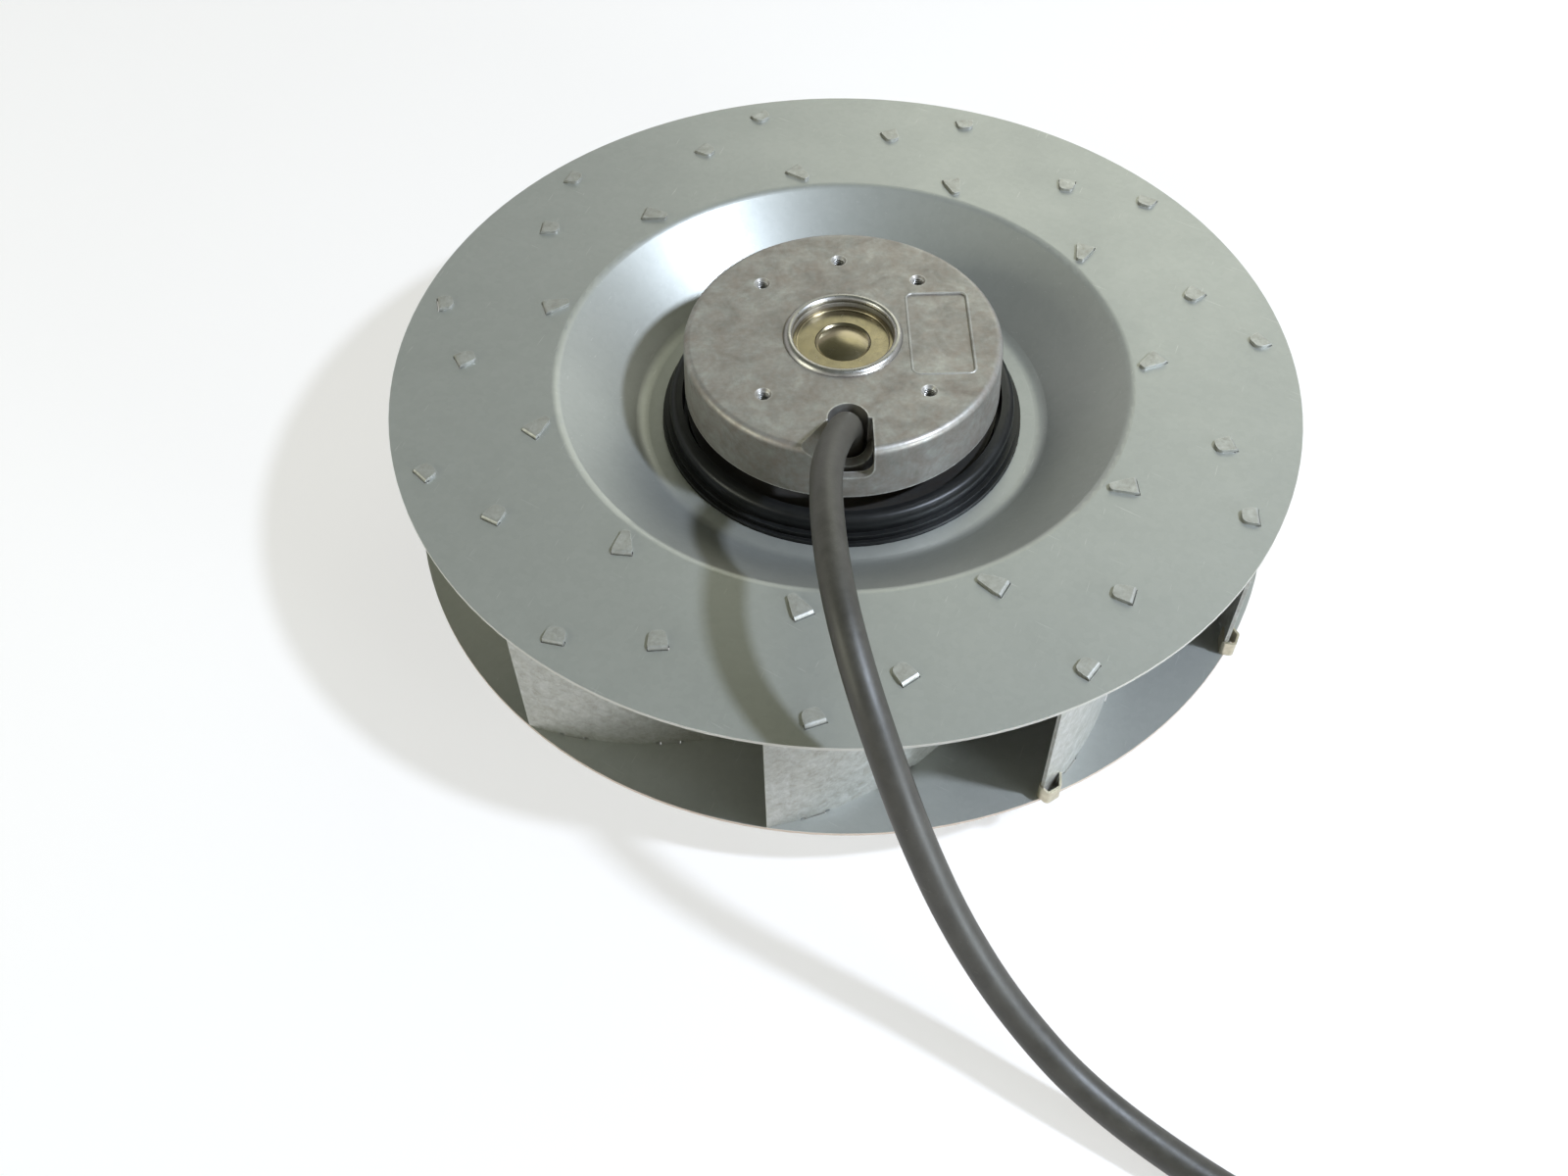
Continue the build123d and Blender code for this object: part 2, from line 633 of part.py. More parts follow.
def bearing_rings(low):
    """Outer and inner ring of a ball bearing, grooved for the balls."""
    middle = low + bearing_width / 2
    groove = Pos(ball_pitch_radius, middle) * Circle(ball_radius + ball_gap)
    outer = Pos((bearing_radius + outer_land_radius) / 2, middle) * Rectangle(
        bearing_radius - outer_land_radius, bearing_width)
    inner = Pos((bearing_bore_radius + inner_land_radius) / 2, middle) * Rectangle(
        inner_land_radius - bearing_bore_radius, bearing_width)
    return revolve(Plane.XZ * (outer - groove), Axis.Z), revolve(Plane.XZ * (inner - groove), Axis.Z)


def ball_places(low):
    """Places of a bearing's balls."""
    return [polar(ball_pitch_radius, index * 360 / ball_count, low + bearing_width / 2)
            for index in range(ball_count)]


def bearing_balls(low):
    return Compound(children=[place * Sphere(ball_radius) for place in ball_places(low)])


def ball_cage(low):
    """Ring that keeps a bearing's balls apart."""
    middle = low + bearing_width / 2
    body = ring(ball_pitch_radius + ball_cage_width / 2, ball_pitch_radius - ball_cage_width / 2,
                middle - ball_cage_height / 2, middle + ball_cage_height / 2)
    pocket = Rot(0, 90, 0) * Cylinder(ball_radius + ball_cage_gap, 2 * ball_cage_width)
    return body - [place * pocket for place in ball_places(low)]


def preload_spring():
    """Disc spring between the tube's shelf and the upper bearing's outer ring."""
    low = upper_bearing_bottom - preload_height
    inner = bearing_radius - tube_shelf + preload_inner_gap
    outer = bearing_radius - preload_outer_gap
    rise = preload_height - preload_thickness
    return turned([(inner, low), (inner, low + preload_thickness), (outer, low + preload_height),
                   (outer, low + rise)])


def shaft():
    """Shaft, pressed into the pot's boss and grooved for its clip."""
    top = clip_bottom + clip_thickness + shaft_tail
    body = Pos(0, 0, rotor_floor + rotor_dish_depth) * Cylinder(
        bearing_bore_radius - bearing_fit_gap, top - rotor_floor - rotor_dish_depth,
        align=(Align.CENTER, Align.CENTER, Align.MIN))
    body = chamfer(body.edges().group_by(Axis.Z)[-1], shaft_chamfer)
    return body - ring(bearing_bore_radius, bearing_bore_radius - clip_groove_depth,
                       clip_bottom, clip_bottom + clip_thickness)


def shaft_clip():
    """Open retaining ring above the upper bearing."""
    inner = bearing_bore_radius - clip_groove_depth + bearing_fit_gap
    opening = Pos(clip_radius, 0) * Rectangle(2 * clip_radius, clip_gap_width)
    section = Circle(clip_radius) - Circle(inner) - opening
    height = clip_thickness - 2 * bearing_fit_gap
    return Pos(0, 0, clip_bottom + bearing_fit_gap) * extrude(section, amount=height)


def cable_bush():
    """Moulded bush that grips the cable in the flange's socket."""
    low = socket_bottom - bush_collar_thickness
    collar = extrude(Circle(bush_collar_radius), amount=bush_collar_thickness)
    plug = extrude(Circle(keyhole_radius - bush_gap), amount=bush_collar_thickness + bush_rise)
    return Pos(0, -keyhole_distance, low) * (collar + plug)


def winding_leads():
    """Short wires from the bush down to the end turns."""
    low = upper_turn_top
    high = socket_bottom - bush_collar_thickness
    y = -(slot_outer_radius - end_turn_round - 2 * lead_radius)
    leads = []
    for index in range(lead_count):
        x = (index - (lead_count - 1) / 2) * lead_spacing
        leads.append(Pos(x, y, (low + high) / 2) * Cylinder(lead_radius, high - low))
    return Compound(children=leads)


def run_lengths(points):
    """Straight distances from each point of a route to the next."""
    return [dist(start, end) for start, end in zip(points, points[1:])]


def bend_radii(points):
    """Largest arc at each corner of a route that its two runs allow."""
    lengths = run_lengths(points)
    radii = []
    for index in range(1, len(points) - 1):
        before = Vector(*points[index]) - Vector(*points[index - 1])
        after = Vector(*points[index + 1]) - Vector(*points[index])
        turn = before.get_angle(after)
        radii.append(cable_bend_share * min(lengths[index - 1], lengths[index]) / tan(radians(turn / 2)))
    return radii


def tube_along(points, radius):
    """Round tube of straight runs joined by tangent arcs."""
    path = FilletPolyline(*points, radius=bend_radii(points))
    start = Plane(origin=path @ 0, z_dir=path % 0)
    return sweep(start * Circle(radius), path=path), path


def core_ends():
    """Start and end of each bare core, fanned out from the end of the cable."""
    end = Vector(*cable_route[-1])
    along = (end - Vector(*cable_route[-2]))
    along = Vector(along.X, along.Y, 0).normalized()
    across = Vector(-along.Y, along.X, 0)
    rest_height = ferrule_sleeve_radius + floor_gap
    ends = []
    for side, level in [(-1, -1), (-1, 1), (1, -1), (1, 1)]:
        spread = side * core_spread * (1 if level < 0 else core_inner_share)
        start = end + along * core_gap + across * (side * core_offset) + Vector(0, 0, level * core_offset)
        middle = start + along * (core_length / 2) + across * (spread * core_bend_share)
        finish = start + along * core_length + across * spread
        middle = Vector(middle.X, middle.Y, rest_height)
        ends.append((start, middle, Vector(finish.X, finish.Y, rest_height)))
    return ends


def cable_cores():
    cores = []
    for start, middle, finish in core_ends():
        route = [tuple(start), tuple(middle), tuple(finish)]
        cores.append(tube_along(route, core_radius)[0])
    return Compound(children=cores)


def core_ferrules():
    """Crimped sleeve and pin on the end of each core."""
    length = ferrule_sleeve_length + ferrule_pin_length
    pin = turned([(0, 0), (ferrule_sleeve_radius, 0), (ferrule_sleeve_radius, ferrule_sleeve_length),
                  (ferrule_pin_radius, ferrule_sleeve_length), (ferrule_pin_radius, length), (0, length)])
    ferrules = []
    for _, middle, finish in core_ends():
        ferrules.append(Plane(origin=finish, z_dir=finish - middle) * pin)
    return Compound(children=ferrules)


def write(solid, name):
    export_step(solid, f"parts/{name}.step")


os.makedirs("parts", exist_ok=True)

write(back_plate(), "back_plate")
write(inlet_shroud(), "inlet_shroud")
plain_blade = blade()
for index in range(blade_count):
    write(blade_turn(index) * plain_blade, f"blade_{index + 1:02d}")
plain_weight = balance_weight(plain_blade)
for number in weighted_blades:
    write(blade_turn(number - 1) * plain_weight, f"balance_weight_{number}")

write(rotor_pot(), "rotor_pot")
write(rotor_core(), "rotor_core")
write(rotor_cage(), "rotor_cage")
write(shaft(), "shaft")
write(shaft_clip(), "shaft_clip")

write(stator_flange(), "stator_flange")
write(bearing_cap(), "bearing_cap")
write(stator_core(), "stator_core")
write(stator_winding(), "stator_winding")
write(insulator(stack_top), "upper_insulator")
write(insulator(stack_bottom - insulator_thickness), "lower_insulator")
write(thermal_cutout(), "thermal_cutout")
write(preload_spring(), "preload_spring")
write(cable_bush(), "cable_bush")
write(winding_leads(), "winding_leads")

for level, low in [("upper", upper_bearing_bottom), ("lower", lower_bearing_bottom)]:
    outer_ring, inner_ring = bearing_rings(low)
    write(outer_ring, f"{level}_bearing_outer_ring")
    write(inner_ring, f"{level}_bearing_inner_ring")
    write(bearing_balls(low), f"{level}_bearing_balls")
    write(ball_cage(low), f"{level}_bearing_cage")

power_cable, cable_line = tube_along(cable_route, cable_radius)
write(power_cable, "power_cable")
write(cable_cores(), "cable_cores")
write(core_ferrules(), "core_ferrules")

print("cable bend radii", [round(radius, 1) for radius in bend_radii(cable_route)])
print("cable length", round(cable_line.length, 1))
print("cable volume over section times length",
      round(power_cable.volume / (pi * cable_radius**2 * cable_line.length), 4))
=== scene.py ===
import math
import bmesh
import bpy
from mathutils import Matrix, Vector


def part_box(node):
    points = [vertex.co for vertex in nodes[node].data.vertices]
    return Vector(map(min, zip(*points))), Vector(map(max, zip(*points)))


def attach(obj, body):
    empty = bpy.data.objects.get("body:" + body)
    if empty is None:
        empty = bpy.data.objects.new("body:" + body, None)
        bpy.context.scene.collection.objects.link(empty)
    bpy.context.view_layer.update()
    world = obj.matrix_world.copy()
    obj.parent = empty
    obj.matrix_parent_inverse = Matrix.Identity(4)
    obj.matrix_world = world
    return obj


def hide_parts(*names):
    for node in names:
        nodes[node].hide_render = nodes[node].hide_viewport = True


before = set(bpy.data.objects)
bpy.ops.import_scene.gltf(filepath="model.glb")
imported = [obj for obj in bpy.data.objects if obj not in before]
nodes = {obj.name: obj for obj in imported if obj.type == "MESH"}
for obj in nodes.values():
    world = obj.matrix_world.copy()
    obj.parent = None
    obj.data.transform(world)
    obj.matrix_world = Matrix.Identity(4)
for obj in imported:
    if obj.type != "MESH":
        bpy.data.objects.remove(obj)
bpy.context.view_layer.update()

mm = 0.001


# Camera, fitted to the wheel's circles in the photograph
cameraSettings = {
    "place": (-17.51, -303.17, 350.56),
    "tiltDegrees": 37.715,    # from straight down
    "rollDegrees": -1.169,
    "lens": 34.27,
    "sensorWidth": 36.0,
}


def makeCamera(values):
    data = bpy.data.cameras.new("photoCamera")
    data.lens = values["lens"]
    data.sensor_width = values["sensorWidth"]
    data.sensor_fit = "HORIZONTAL"
    data.clip_start = 0.01
    camera = bpy.data.objects.new("photoCamera", data)
    bpy.context.scene.collection.objects.link(camera)
    tilt = Matrix.Rotation(math.radians(values["tiltDegrees"]), 4, "X")
    roll = Matrix.Rotation(math.radians(values["rollDegrees"]), 4, "Z")
    camera.matrix_world = Matrix.Translation(Vector(values["place"]) * mm) @ tilt @ roll
    bpy.context.scene.camera = camera


makeCamera(cameraSettings)
print("camera ready")

# Cable, with the same points as its route in the CAD model
cableValues = {
    "radius": 4.0,
    "length": 0.3957,
    "route": [(0.3, -31.8, 60.0), (0.3, -31.8, 69.6), (-3.1, -44.0, 78.0), (-6.8, -60.0, 84.5),
              (-7.5, -80.0, 90.0), (-6.2, -101.0, 91.0), (-2.4, -120.0, 86.0), (3.7, -136.0, 74.0),
              (10.7, -148.5, 58.0), (19.9, -159.5, 39.0), (32.3, -172.0, 22.0), (49.5, -188.0, 10.0),
              (76.0, -207.0, 4.4), (103.0, -223.0, 4.0), (122.0, -246.0, 4.2), (126.5, -274.0, 4.0),
              (115.0, -299.5, 4.2), (91.0, -314.0, 4.0)],
}

# Bare cores at its end: name, side and level in the sheath, how far they spread
coreValues = {
    "radius": 0.95, "length": 42.0, "offset": 1.35, "gap": 0.3, "restHeight": 1.5, "halfwayShare": 0.25,
    "cores": [("core_brown", -1, -1, 7.0), ("core_black", -1, 1, 7.0 / 3),
              ("core_green_yellow", 1, -1, 7.0), ("core_blue", 1, 1, 7.0 / 3)],
}


def addPiece(name, data, body="stator"):
    piece = bpy.data.objects.new(name, data)
    bpy.context.scene.collection.objects.link(piece)
    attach(piece, body)
    return piece


def curveData(name, resolution=8):
    data = bpy.data.curves.new(name, "CURVE")
    data.dimensions = "3D"
    data.bevel_depth = 1.0    # each point's own radius sets the size
    data.bevel_resolution = resolution
    data.resolution_u = 16
    data.use_fill_caps = True
    return data


def smoothCurve(name, points, radius):
    data = curveData(name)
    spline = data.splines.new("NURBS")
    spline.points.add(len(points) - 1)
    for point, spot in zip(spline.points, points):
        point.co = (*spot, 1.0)
        point.radius = radius
    spline.order_u = 3
    spline.use_endpoint_u = True
    return addPiece(name, data)


def makeCores(values, route):
    end = Vector(route[-1])
    along = end - Vector(route[-2])
    along.z = 0
    along.normalize()
    across = Vector((-along.y, along.x, 0))
    pieces = []
    for name, side, level, reach in values["cores"]:
        spread = side * reach
        start = end + along * values["gap"] + across * side * values["offset"]
        start.z += level * values["offset"]
        middle = start + along * values["length"] / 2 + across * spread * values["halfwayShare"]
        finish = start + along * values["length"] + across * spread
        middle.z = values["restHeight"]
        finish.z = values["restHeight"]
        piece = smoothCurve(name, [spot * mm for spot in (start, middle, finish)], values["radius"] * mm)
        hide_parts("cable_cores")
        pieces.append(piece)
    return pieces


def makeCable(values):
    route = [Vector(spot) * mm for spot in values["route"]]
    cable = smoothCurve("cable", route, values["radius"] * mm)
    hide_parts("power_cable")
    return cable


cores = makeCores(coreValues, cableValues["route"])
cable = makeCable(cableValues)
print("cable ready")


# Node helpers
def addNode(tree, kind, spot, **values):
    node = tree.nodes.new(kind)
    node.location = (spot[0] * 200, -spot[1] * 200)
    for name, value in values.items():
        setattr(node, name, value)
    return node


def join(tree, source, target):
    tree.links.new(source, target)


def feed(tree, socket, value):
    if isinstance(value, bpy.types.NodeSocket):
        join(tree, value, socket)
    else:
        socket.default_value = value


def calc(tree, operation, spot, first, second=None, clamp=False):
    node = addNode(tree, "ShaderNodeMath", spot, operation=operation, use_clamp=clamp)
    feed(tree, node.inputs[0], first)
    if second is not None:
        feed(tree, node.inputs[1], second)
    return node.outputs[0]


def mapRange(tree, spot, value, fromLow, fromHigh, toLow, toHigh):
    node = addNode(tree, "ShaderNodeMapRange", spot)
    names = ["Value", "From Min", "From Max", "To Min", "To Max"]
    for name, number in zip(names, [value, fromLow, fromHigh, toLow, toHigh]):
        feed(tree, node.inputs[name], number)
    return node.outputs["Result"]


def mixColour(tree, spot, factor, first, second, blend="MIX"):
    node = addNode(tree, "ShaderNodeMix", spot, data_type="RGBA", blend_type=blend)
    for index, value in [(0, factor), (6, first), (7, second)]:
        feed(tree, node.inputs[index], value)
    return node.outputs[2]


def stretch(tree, spot, vector, scale):
    node = addNode(tree, "ShaderNodeVectorMath", spot, operation="MULTIPLY")
    join(tree, vector, node.inputs[0])
    node.inputs[1].default_value = scale
    return node.outputs[0]


def noise(tree, spot, vector, scale, detail=4.0, rough=0.55, distortion=0.0):
    node = addNode(tree, "ShaderNodeTexNoise", spot)
    for name, value in [("Vector", vector), ("Scale", scale), ("Detail", detail), ("Roughness", rough),
                        ("Distortion", distortion)]:
        feed(tree, node.inputs[name], value)
    return node.outputs


def radiusAndHeight(tree, spot, vector):
    parts = addNode(tree, "ShaderNodeSeparateXYZ", spot)
    join(tree, vector, parts.inputs[0])
    flat = addNode(tree, "ShaderNodeCombineXYZ", (spot[0] + 1, spot[1]))
    join(tree, parts.outputs[0], flat.inputs[0])
    join(tree, parts.outputs[1], flat.inputs[1])
    length = addNode(tree, "ShaderNodeVectorMath", (spot[0] + 2, spot[1]), operation="LENGTH")
    join(tree, flat.outputs[0], length.inputs[0])
    return length.outputs["Value"], parts.outputs[2]


vectorSocket = "NodeSocketVector"
floatSocket = "NodeSocketFloat"


def newGroup(name, inputs, outputs):
    tree = bpy.data.node_groups.new(name, "ShaderNodeTree")
    tree.interface.new_socket(name="Vector", in_out="INPUT", socket_type=vectorSocket)
    for label, value in inputs:
        socket = tree.interface.new_socket(name=label, in_out="INPUT", socket_type=floatSocket)
        socket.default_value = value
    for label in outputs:
        tree.interface.new_socket(name=label, in_out="OUTPUT", socket_type=floatSocket)
    start = addNode(tree, "NodeGroupInput", (-6, 0))
    end = addNode(tree, "NodeGroupOutput", (8, 0))
    return tree, start.outputs, end.inputs


def perMetre(tree, size):
    return calc(tree, "DIVIDE", (-5, 1), 1000.0, size)    # sizes of patterns are in millimetres


# Large soft patches, as rolling, casting and handling leave them
def buildMottle():
    tree, given, result = newGroup("mottle", [("Size", 20.0), ("Contrast", 1.0)], ["Value"])
    scale = perMetre(tree, given["Size"])
    broad = noise(tree, (-2, 0), given["Vector"], scale, 3.0, 0.6, 0.6)["Fac"]
    finer = calc(tree, "MULTIPLY", (-3, 2), scale, 3.7)
    fine = noise(tree, (-2, 2), given["Vector"], finer, 4.0, 0.65)["Fac"]
    both = calc(tree, "ADD", (0, 0), calc(tree, "MULTIPLY", (-1, 0), broad, 0.65),
                calc(tree, "MULTIPLY", (-1, 2), fine, 0.35))
    centred = calc(tree, "SUBTRACT", (1, 0), both, 0.5)
    spread = calc(tree, "MULTIPLY", (2, 0), centred, given["Contrast"])
    join(tree, calc(tree, "ADD", (3, 0), spread, 0.5, True), result["Value"])
    return tree


# Fine streaks along one direction, as the mill's rollers leave them in sheet
def buildRollGrain():
    tree, given, result = newGroup("rollGrain", [("Size", 0.6), ("Turn", 0.0)], ["Value"])
    turned = addNode(tree, "ShaderNodeVectorRotate", (-4, 0), rotation_type="Z_AXIS")
    join(tree, given["Vector"], turned.inputs["Vector"])
    join(tree, given["Turn"], turned.inputs["Angle"])
    drawn = stretch(tree, (-3, 0), turned.outputs[0], (0.035, 1.0, 1.0))
    scale = perMetre(tree, given["Size"])
    streaks = noise(tree, (-1, 0), drawn, scale, 3.0, 0.6)["Fac"]
    grit = noise(tree, (-1, 2), given["Vector"], scale, 2.0, 0.7)["Fac"]
    both = calc(tree, "ADD", (1, 0), calc(tree, "MULTIPLY", (0, 0), streaks, 0.6),
                calc(tree, "MULTIPLY", (0, 2), grit, 0.4))
    join(tree, both, result["Value"])
    return tree


# Crystals of the zinc coating, each with its own shade
def buildSpangle():
    tree, given, result = newGroup("spangle", [("Size", 3.0)], ["Value", "Seam"])
    scale = perMetre(tree, given["Size"])
    push = noise(tree, (-4, 0), given["Vector"], scale, 2.0, 0.6)["Color"]
    small = stretch(tree, (-3, 0), push, (0.0012, 0.0012, 0.0012))
    moved = addNode(tree, "ShaderNodeVectorMath", (-2, 0), operation="ADD")
    join(tree, given["Vector"], moved.inputs[0])
    join(tree, small, moved.inputs[1])
    cells = addNode(tree, "ShaderNodeTexVoronoi", (0, 0), feature="F1")
    edges = addNode(tree, "ShaderNodeTexVoronoi", (0, 2), feature="DISTANCE_TO_EDGE")
    for texture in (cells, edges):
        join(tree, moved.outputs[0], texture.inputs["Vector"])
        join(tree, scale, texture.inputs["Scale"])
    shade = addNode(tree, "ShaderNodeSeparateColor", (2, 0))
    join(tree, cells.outputs["Color"], shade.inputs[0])
    join(tree, shade.outputs[0], result["Value"])
    join(tree, mapRange(tree, (2, 2), edges.outputs["Distance"], 0.0, 0.09, 1.0, 0.0), result["Seam"])
    return tree


# Skin of a die casting: fine grit with shallow pits
def buildCastSkin():
    tree, given, result = newGroup("castSkin", [("Size", 0.5)], ["Value"])
    scale = perMetre(tree, given["Size"])
    grit = noise(tree, (-2, 0), given["Vector"], scale, 4.0, 0.7)["Fac"]
    pits = addNode(tree, "ShaderNodeTexVoronoi", (-2, 2), feature="SMOOTH_F1")
    join(tree, given["Vector"], pits.inputs["Vector"])
    join(tree, calc(tree, "MULTIPLY", (-3, 2), scale, 0.45), pits.inputs["Scale"])
    depth = mapRange(tree, (0, 2), pits.outputs["Distance"], 0.0, 0.5, 0.0, 1.0)
    both = calc(tree, "ADD", (2, 0), calc(tree, "MULTIPLY", (1, 0), grit, 0.65),
                calc(tree, "MULTIPLY", (1, 2), depth, 0.35))
    join(tree, both, result["Value"])
    return tree


# Circular marks of turning and grinding about the wheel's axis
def buildTurning():
    tree, given, result = newGroup("turning", [("Size", 0.3)], ["Value"])
    radius, height = radiusAndHeight(tree, (-5, 0), given["Vector"])
    line = addNode(tree, "ShaderNodeCombineXYZ", (-2, 0))
    join(tree, radius, line.inputs[0])
    join(tree, height, line.inputs[2])
    marks = noise(tree, (0, 0), line.outputs[0], perMetre(tree, given["Size"]), 3.0, 0.65)["Fac"]
    join(tree, marks, result["Value"])
    return tree


# Bright metal on edges: rubbed wear, and a painted highlight along the rounded edges
def buildEdgeWearAndHighlight():
    tree, given, result = newGroup("edgeWearAndHighlight", [("Radius", 0.4), ("Amount", 1.0), ("Size", 3.0)], ["Mask"])
    bevel = addNode(tree, "ShaderNodeBevel", (-3, 0), samples=6)
    join(tree, calc(tree, "MULTIPLY", (-4, 0), given["Radius"], mm), bevel.inputs["Radius"])
    flat = addNode(tree, "ShaderNodeNewGeometry", (-3, 2)).outputs["Normal"]
    turn = addNode(tree, "ShaderNodeVectorMath", (-2, 0), operation="DOT_PRODUCT")
    join(tree, bevel.outputs[0], turn.inputs[0])
    join(tree, flat, turn.inputs[1])
    corner = mapRange(tree, (-1, 0), turn.outputs["Value"], 0.99, 0.86, 0.0, 1.0)
    scale = perMetre(tree, given["Size"])
    rubbedAndHighlit = noise(tree, (-1, 2), given["Vector"], scale, 4.0, 0.65)["Fac"]
    uneven = mapRange(tree, (1, 2), rubbedAndHighlit, 0.35, 0.6, 0.25, 1.0)
    mask = calc(tree, "MULTIPLY", (3, 0), calc(tree, "MULTIPLY", (2, 0), corner, uneven), given["Amount"], True)
    join(tree, mask, result["Mask"])
    return tree


# Thin dust on what faces up, thicker in patches
def buildDust():
    tree, given, result = newGroup("dust", [("Amount", 0.3), ("Size", 12.0)], ["Mask"])
    facing = addNode(tree, "ShaderNodeSeparateXYZ", (-3, 0))
    join(tree, addNode(tree, "ShaderNodeNewGeometry", (-4, 0)).outputs["Normal"], facing.inputs[0])
    upward = mapRange(tree, (-1, 0), facing.outputs[2], 0.2, 1.0, 0.0, 1.0)
    patches = noise(tree, (-1, 2), given["Vector"], perMetre(tree, given["Size"]), 5.0, 0.7)["Fac"]
    thick = mapRange(tree, (1, 2), patches, 0.4, 0.65, 0.2, 1.0)
    mask = calc(tree, "MULTIPLY", (3, 0), calc(tree, "MULTIPLY", (2, 0), upward, thick), given["Amount"], True)
    join(tree, mask, result["Mask"])
    return tree


# A few thin scratches, most of them one way
def buildScratches():
    tree, given, result = newGroup("scratches", [("Size", 0.5), ("Turn", 0.6), ("Amount", 1.0)], ["Mask"])
    scale = perMetre(tree, given["Size"])
    masks = []
    for row, (extra, drawn) in enumerate([(0.0, 0.03), (1.35, 0.06)]):
        turned = addNode(tree, "ShaderNodeVectorRotate", (-4, row * 2), rotation_type="Z_AXIS")
        join(tree, given["Vector"], turned.inputs["Vector"])
        join(tree, calc(tree, "ADD", (-5, row * 2), given["Turn"], extra), turned.inputs["Angle"])
        long = stretch(tree, (-3, row * 2), turned.outputs[0], (drawn, 1.0, 1.0))
        lines = noise(tree, (-2, row * 2), long, scale, 1.0, 0.5)["Fac"]
        masks.append(mapRange(tree, (-1, row * 2), lines, 0.735, 0.76, 0.0, 1.0))
    both = calc(tree, "MAXIMUM", (1, 0), masks[0], masks[1])
    place = noise(tree, (0, 4), given["Vector"], calc(tree, "MULTIPLY", (-1, 5), scale, 0.05), 2.0, 0.5)["Fac"]
    some = mapRange(tree, (1, 4), place, 0.48, 0.56, 0.0, 1.0)
    mask = calc(tree, "MULTIPLY", (4, 0), calc(tree, "MULTIPLY", (3, 0), both, some), given["Amount"], True)
    join(tree, mask, result["Mask"])
    return tree


mottleGroup = buildMottle()
rollGrainGroup = buildRollGrain()
spangleGroup = buildSpangle()
castSkinGroup = buildCastSkin()
turningGroup = buildTurning()
edgeWearAndHighlightGroup = buildEdgeWearAndHighlight()
dustGroup = buildDust()
scratchesGroup = buildScratches()
print("effects ready")


def useGroup(tree, group, spot, vector, **values):
    node = addNode(tree, "ShaderNodeGroup", spot)
    node.node_tree = group
    join(tree, vector, node.inputs["Vector"])
    for name, value in values.items():
        feed(tree, node.inputs[name], value)
    return node.outputs[0]


def newMaterial(name):
    material = bpy.data.materials.new(name)
    material.use_nodes = True
    tree = material.node_tree
    tree.nodes.clear()
    output = addNode(tree, "ShaderNodeOutputMaterial", (12, 0))
    shader = addNode(tree, "ShaderNodeBsdfPrincipled", (10, 0))
    join(tree, shader.outputs[0], output.inputs["Surface"])
    place = addNode(tree, "ShaderNodeTexCoord", (-8, 0)).outputs["Object"]
    return material, tree, shader, place


def addBump(tree, shader, height, strength, distance):
    bump = addNode(tree, "ShaderNodeBump", (8, 4))
    bump.inputs["Strength"].default_value = strength
    bump.inputs["Distance"].default_value = distance * mm
    join(tree, height, bump.inputs["Height"])
    join(tree, bump.outputs[0], shader.inputs["Normal"])


def band(tree, spot, value, low, high, soft):
    rise = mapRange(tree, spot, value, low - soft, low, 0.0, 1.0)
    fall = mapRange(tree, (spot[0], spot[1] + 1), value, high, high + soft, 1.0, 0.0)
    return calc(tree, "MULTIPLY", (spot[0] + 1, spot[1]), rise, fall)


def dress(material, *pieces):
    for piece in pieces:
        mesh = nodes[piece] if isinstance(piece, str) else piece
        mesh.data.materials.clear()
        mesh.data.materials.append(material)


# Zinc-coated sheet of the discs and blades
backPlateValues = {
    "dark": (0.335, 0.345, 0.325, 1), "light": (0.43, 0.44, 0.42, 1), "patchSize": 55.0, "patchContrast": 1.1,
    "crystalSize": 1.6, "crystalShare": 0.022, "grainSize": 0.35, "grainTurn": 0.5, "metallic": 0.62,
    "roughLow": 0.40, "roughHigh": 0.50, "bumpStrength": 0.25, "bumpDepth": 0.02, "scratchAmount": 0.35,
    # the rim's own lighter colour is bare sheared sheet and a painted highlight along the rim
    "wornAndHighlight": (0.66, 0.66, 0.64, 1), "wearAndHighlightAmount": 0.8, "cut": (0.50, 0.49, 0.45, 1), "cutRadius": 124.93,
}
shroudValues = dict(backPlateValues, grainTurn=1.9, cut=(0.60, 0.50, 0.42, 1), cutRadius=124.03,
                    scratchAmount=0.25)
bladeValues = dict(backPlateValues, dark=(0.29, 0.28, 0.24, 1), light=(0.47, 0.475, 0.455, 1), patchSize=2.6,
                   patchContrast=2.3, crystalShare=0.06, grainTurn=0.0, metallic=0.5, roughLow=0.36,
                   roughHigh=0.52, cutRadius=300.0)


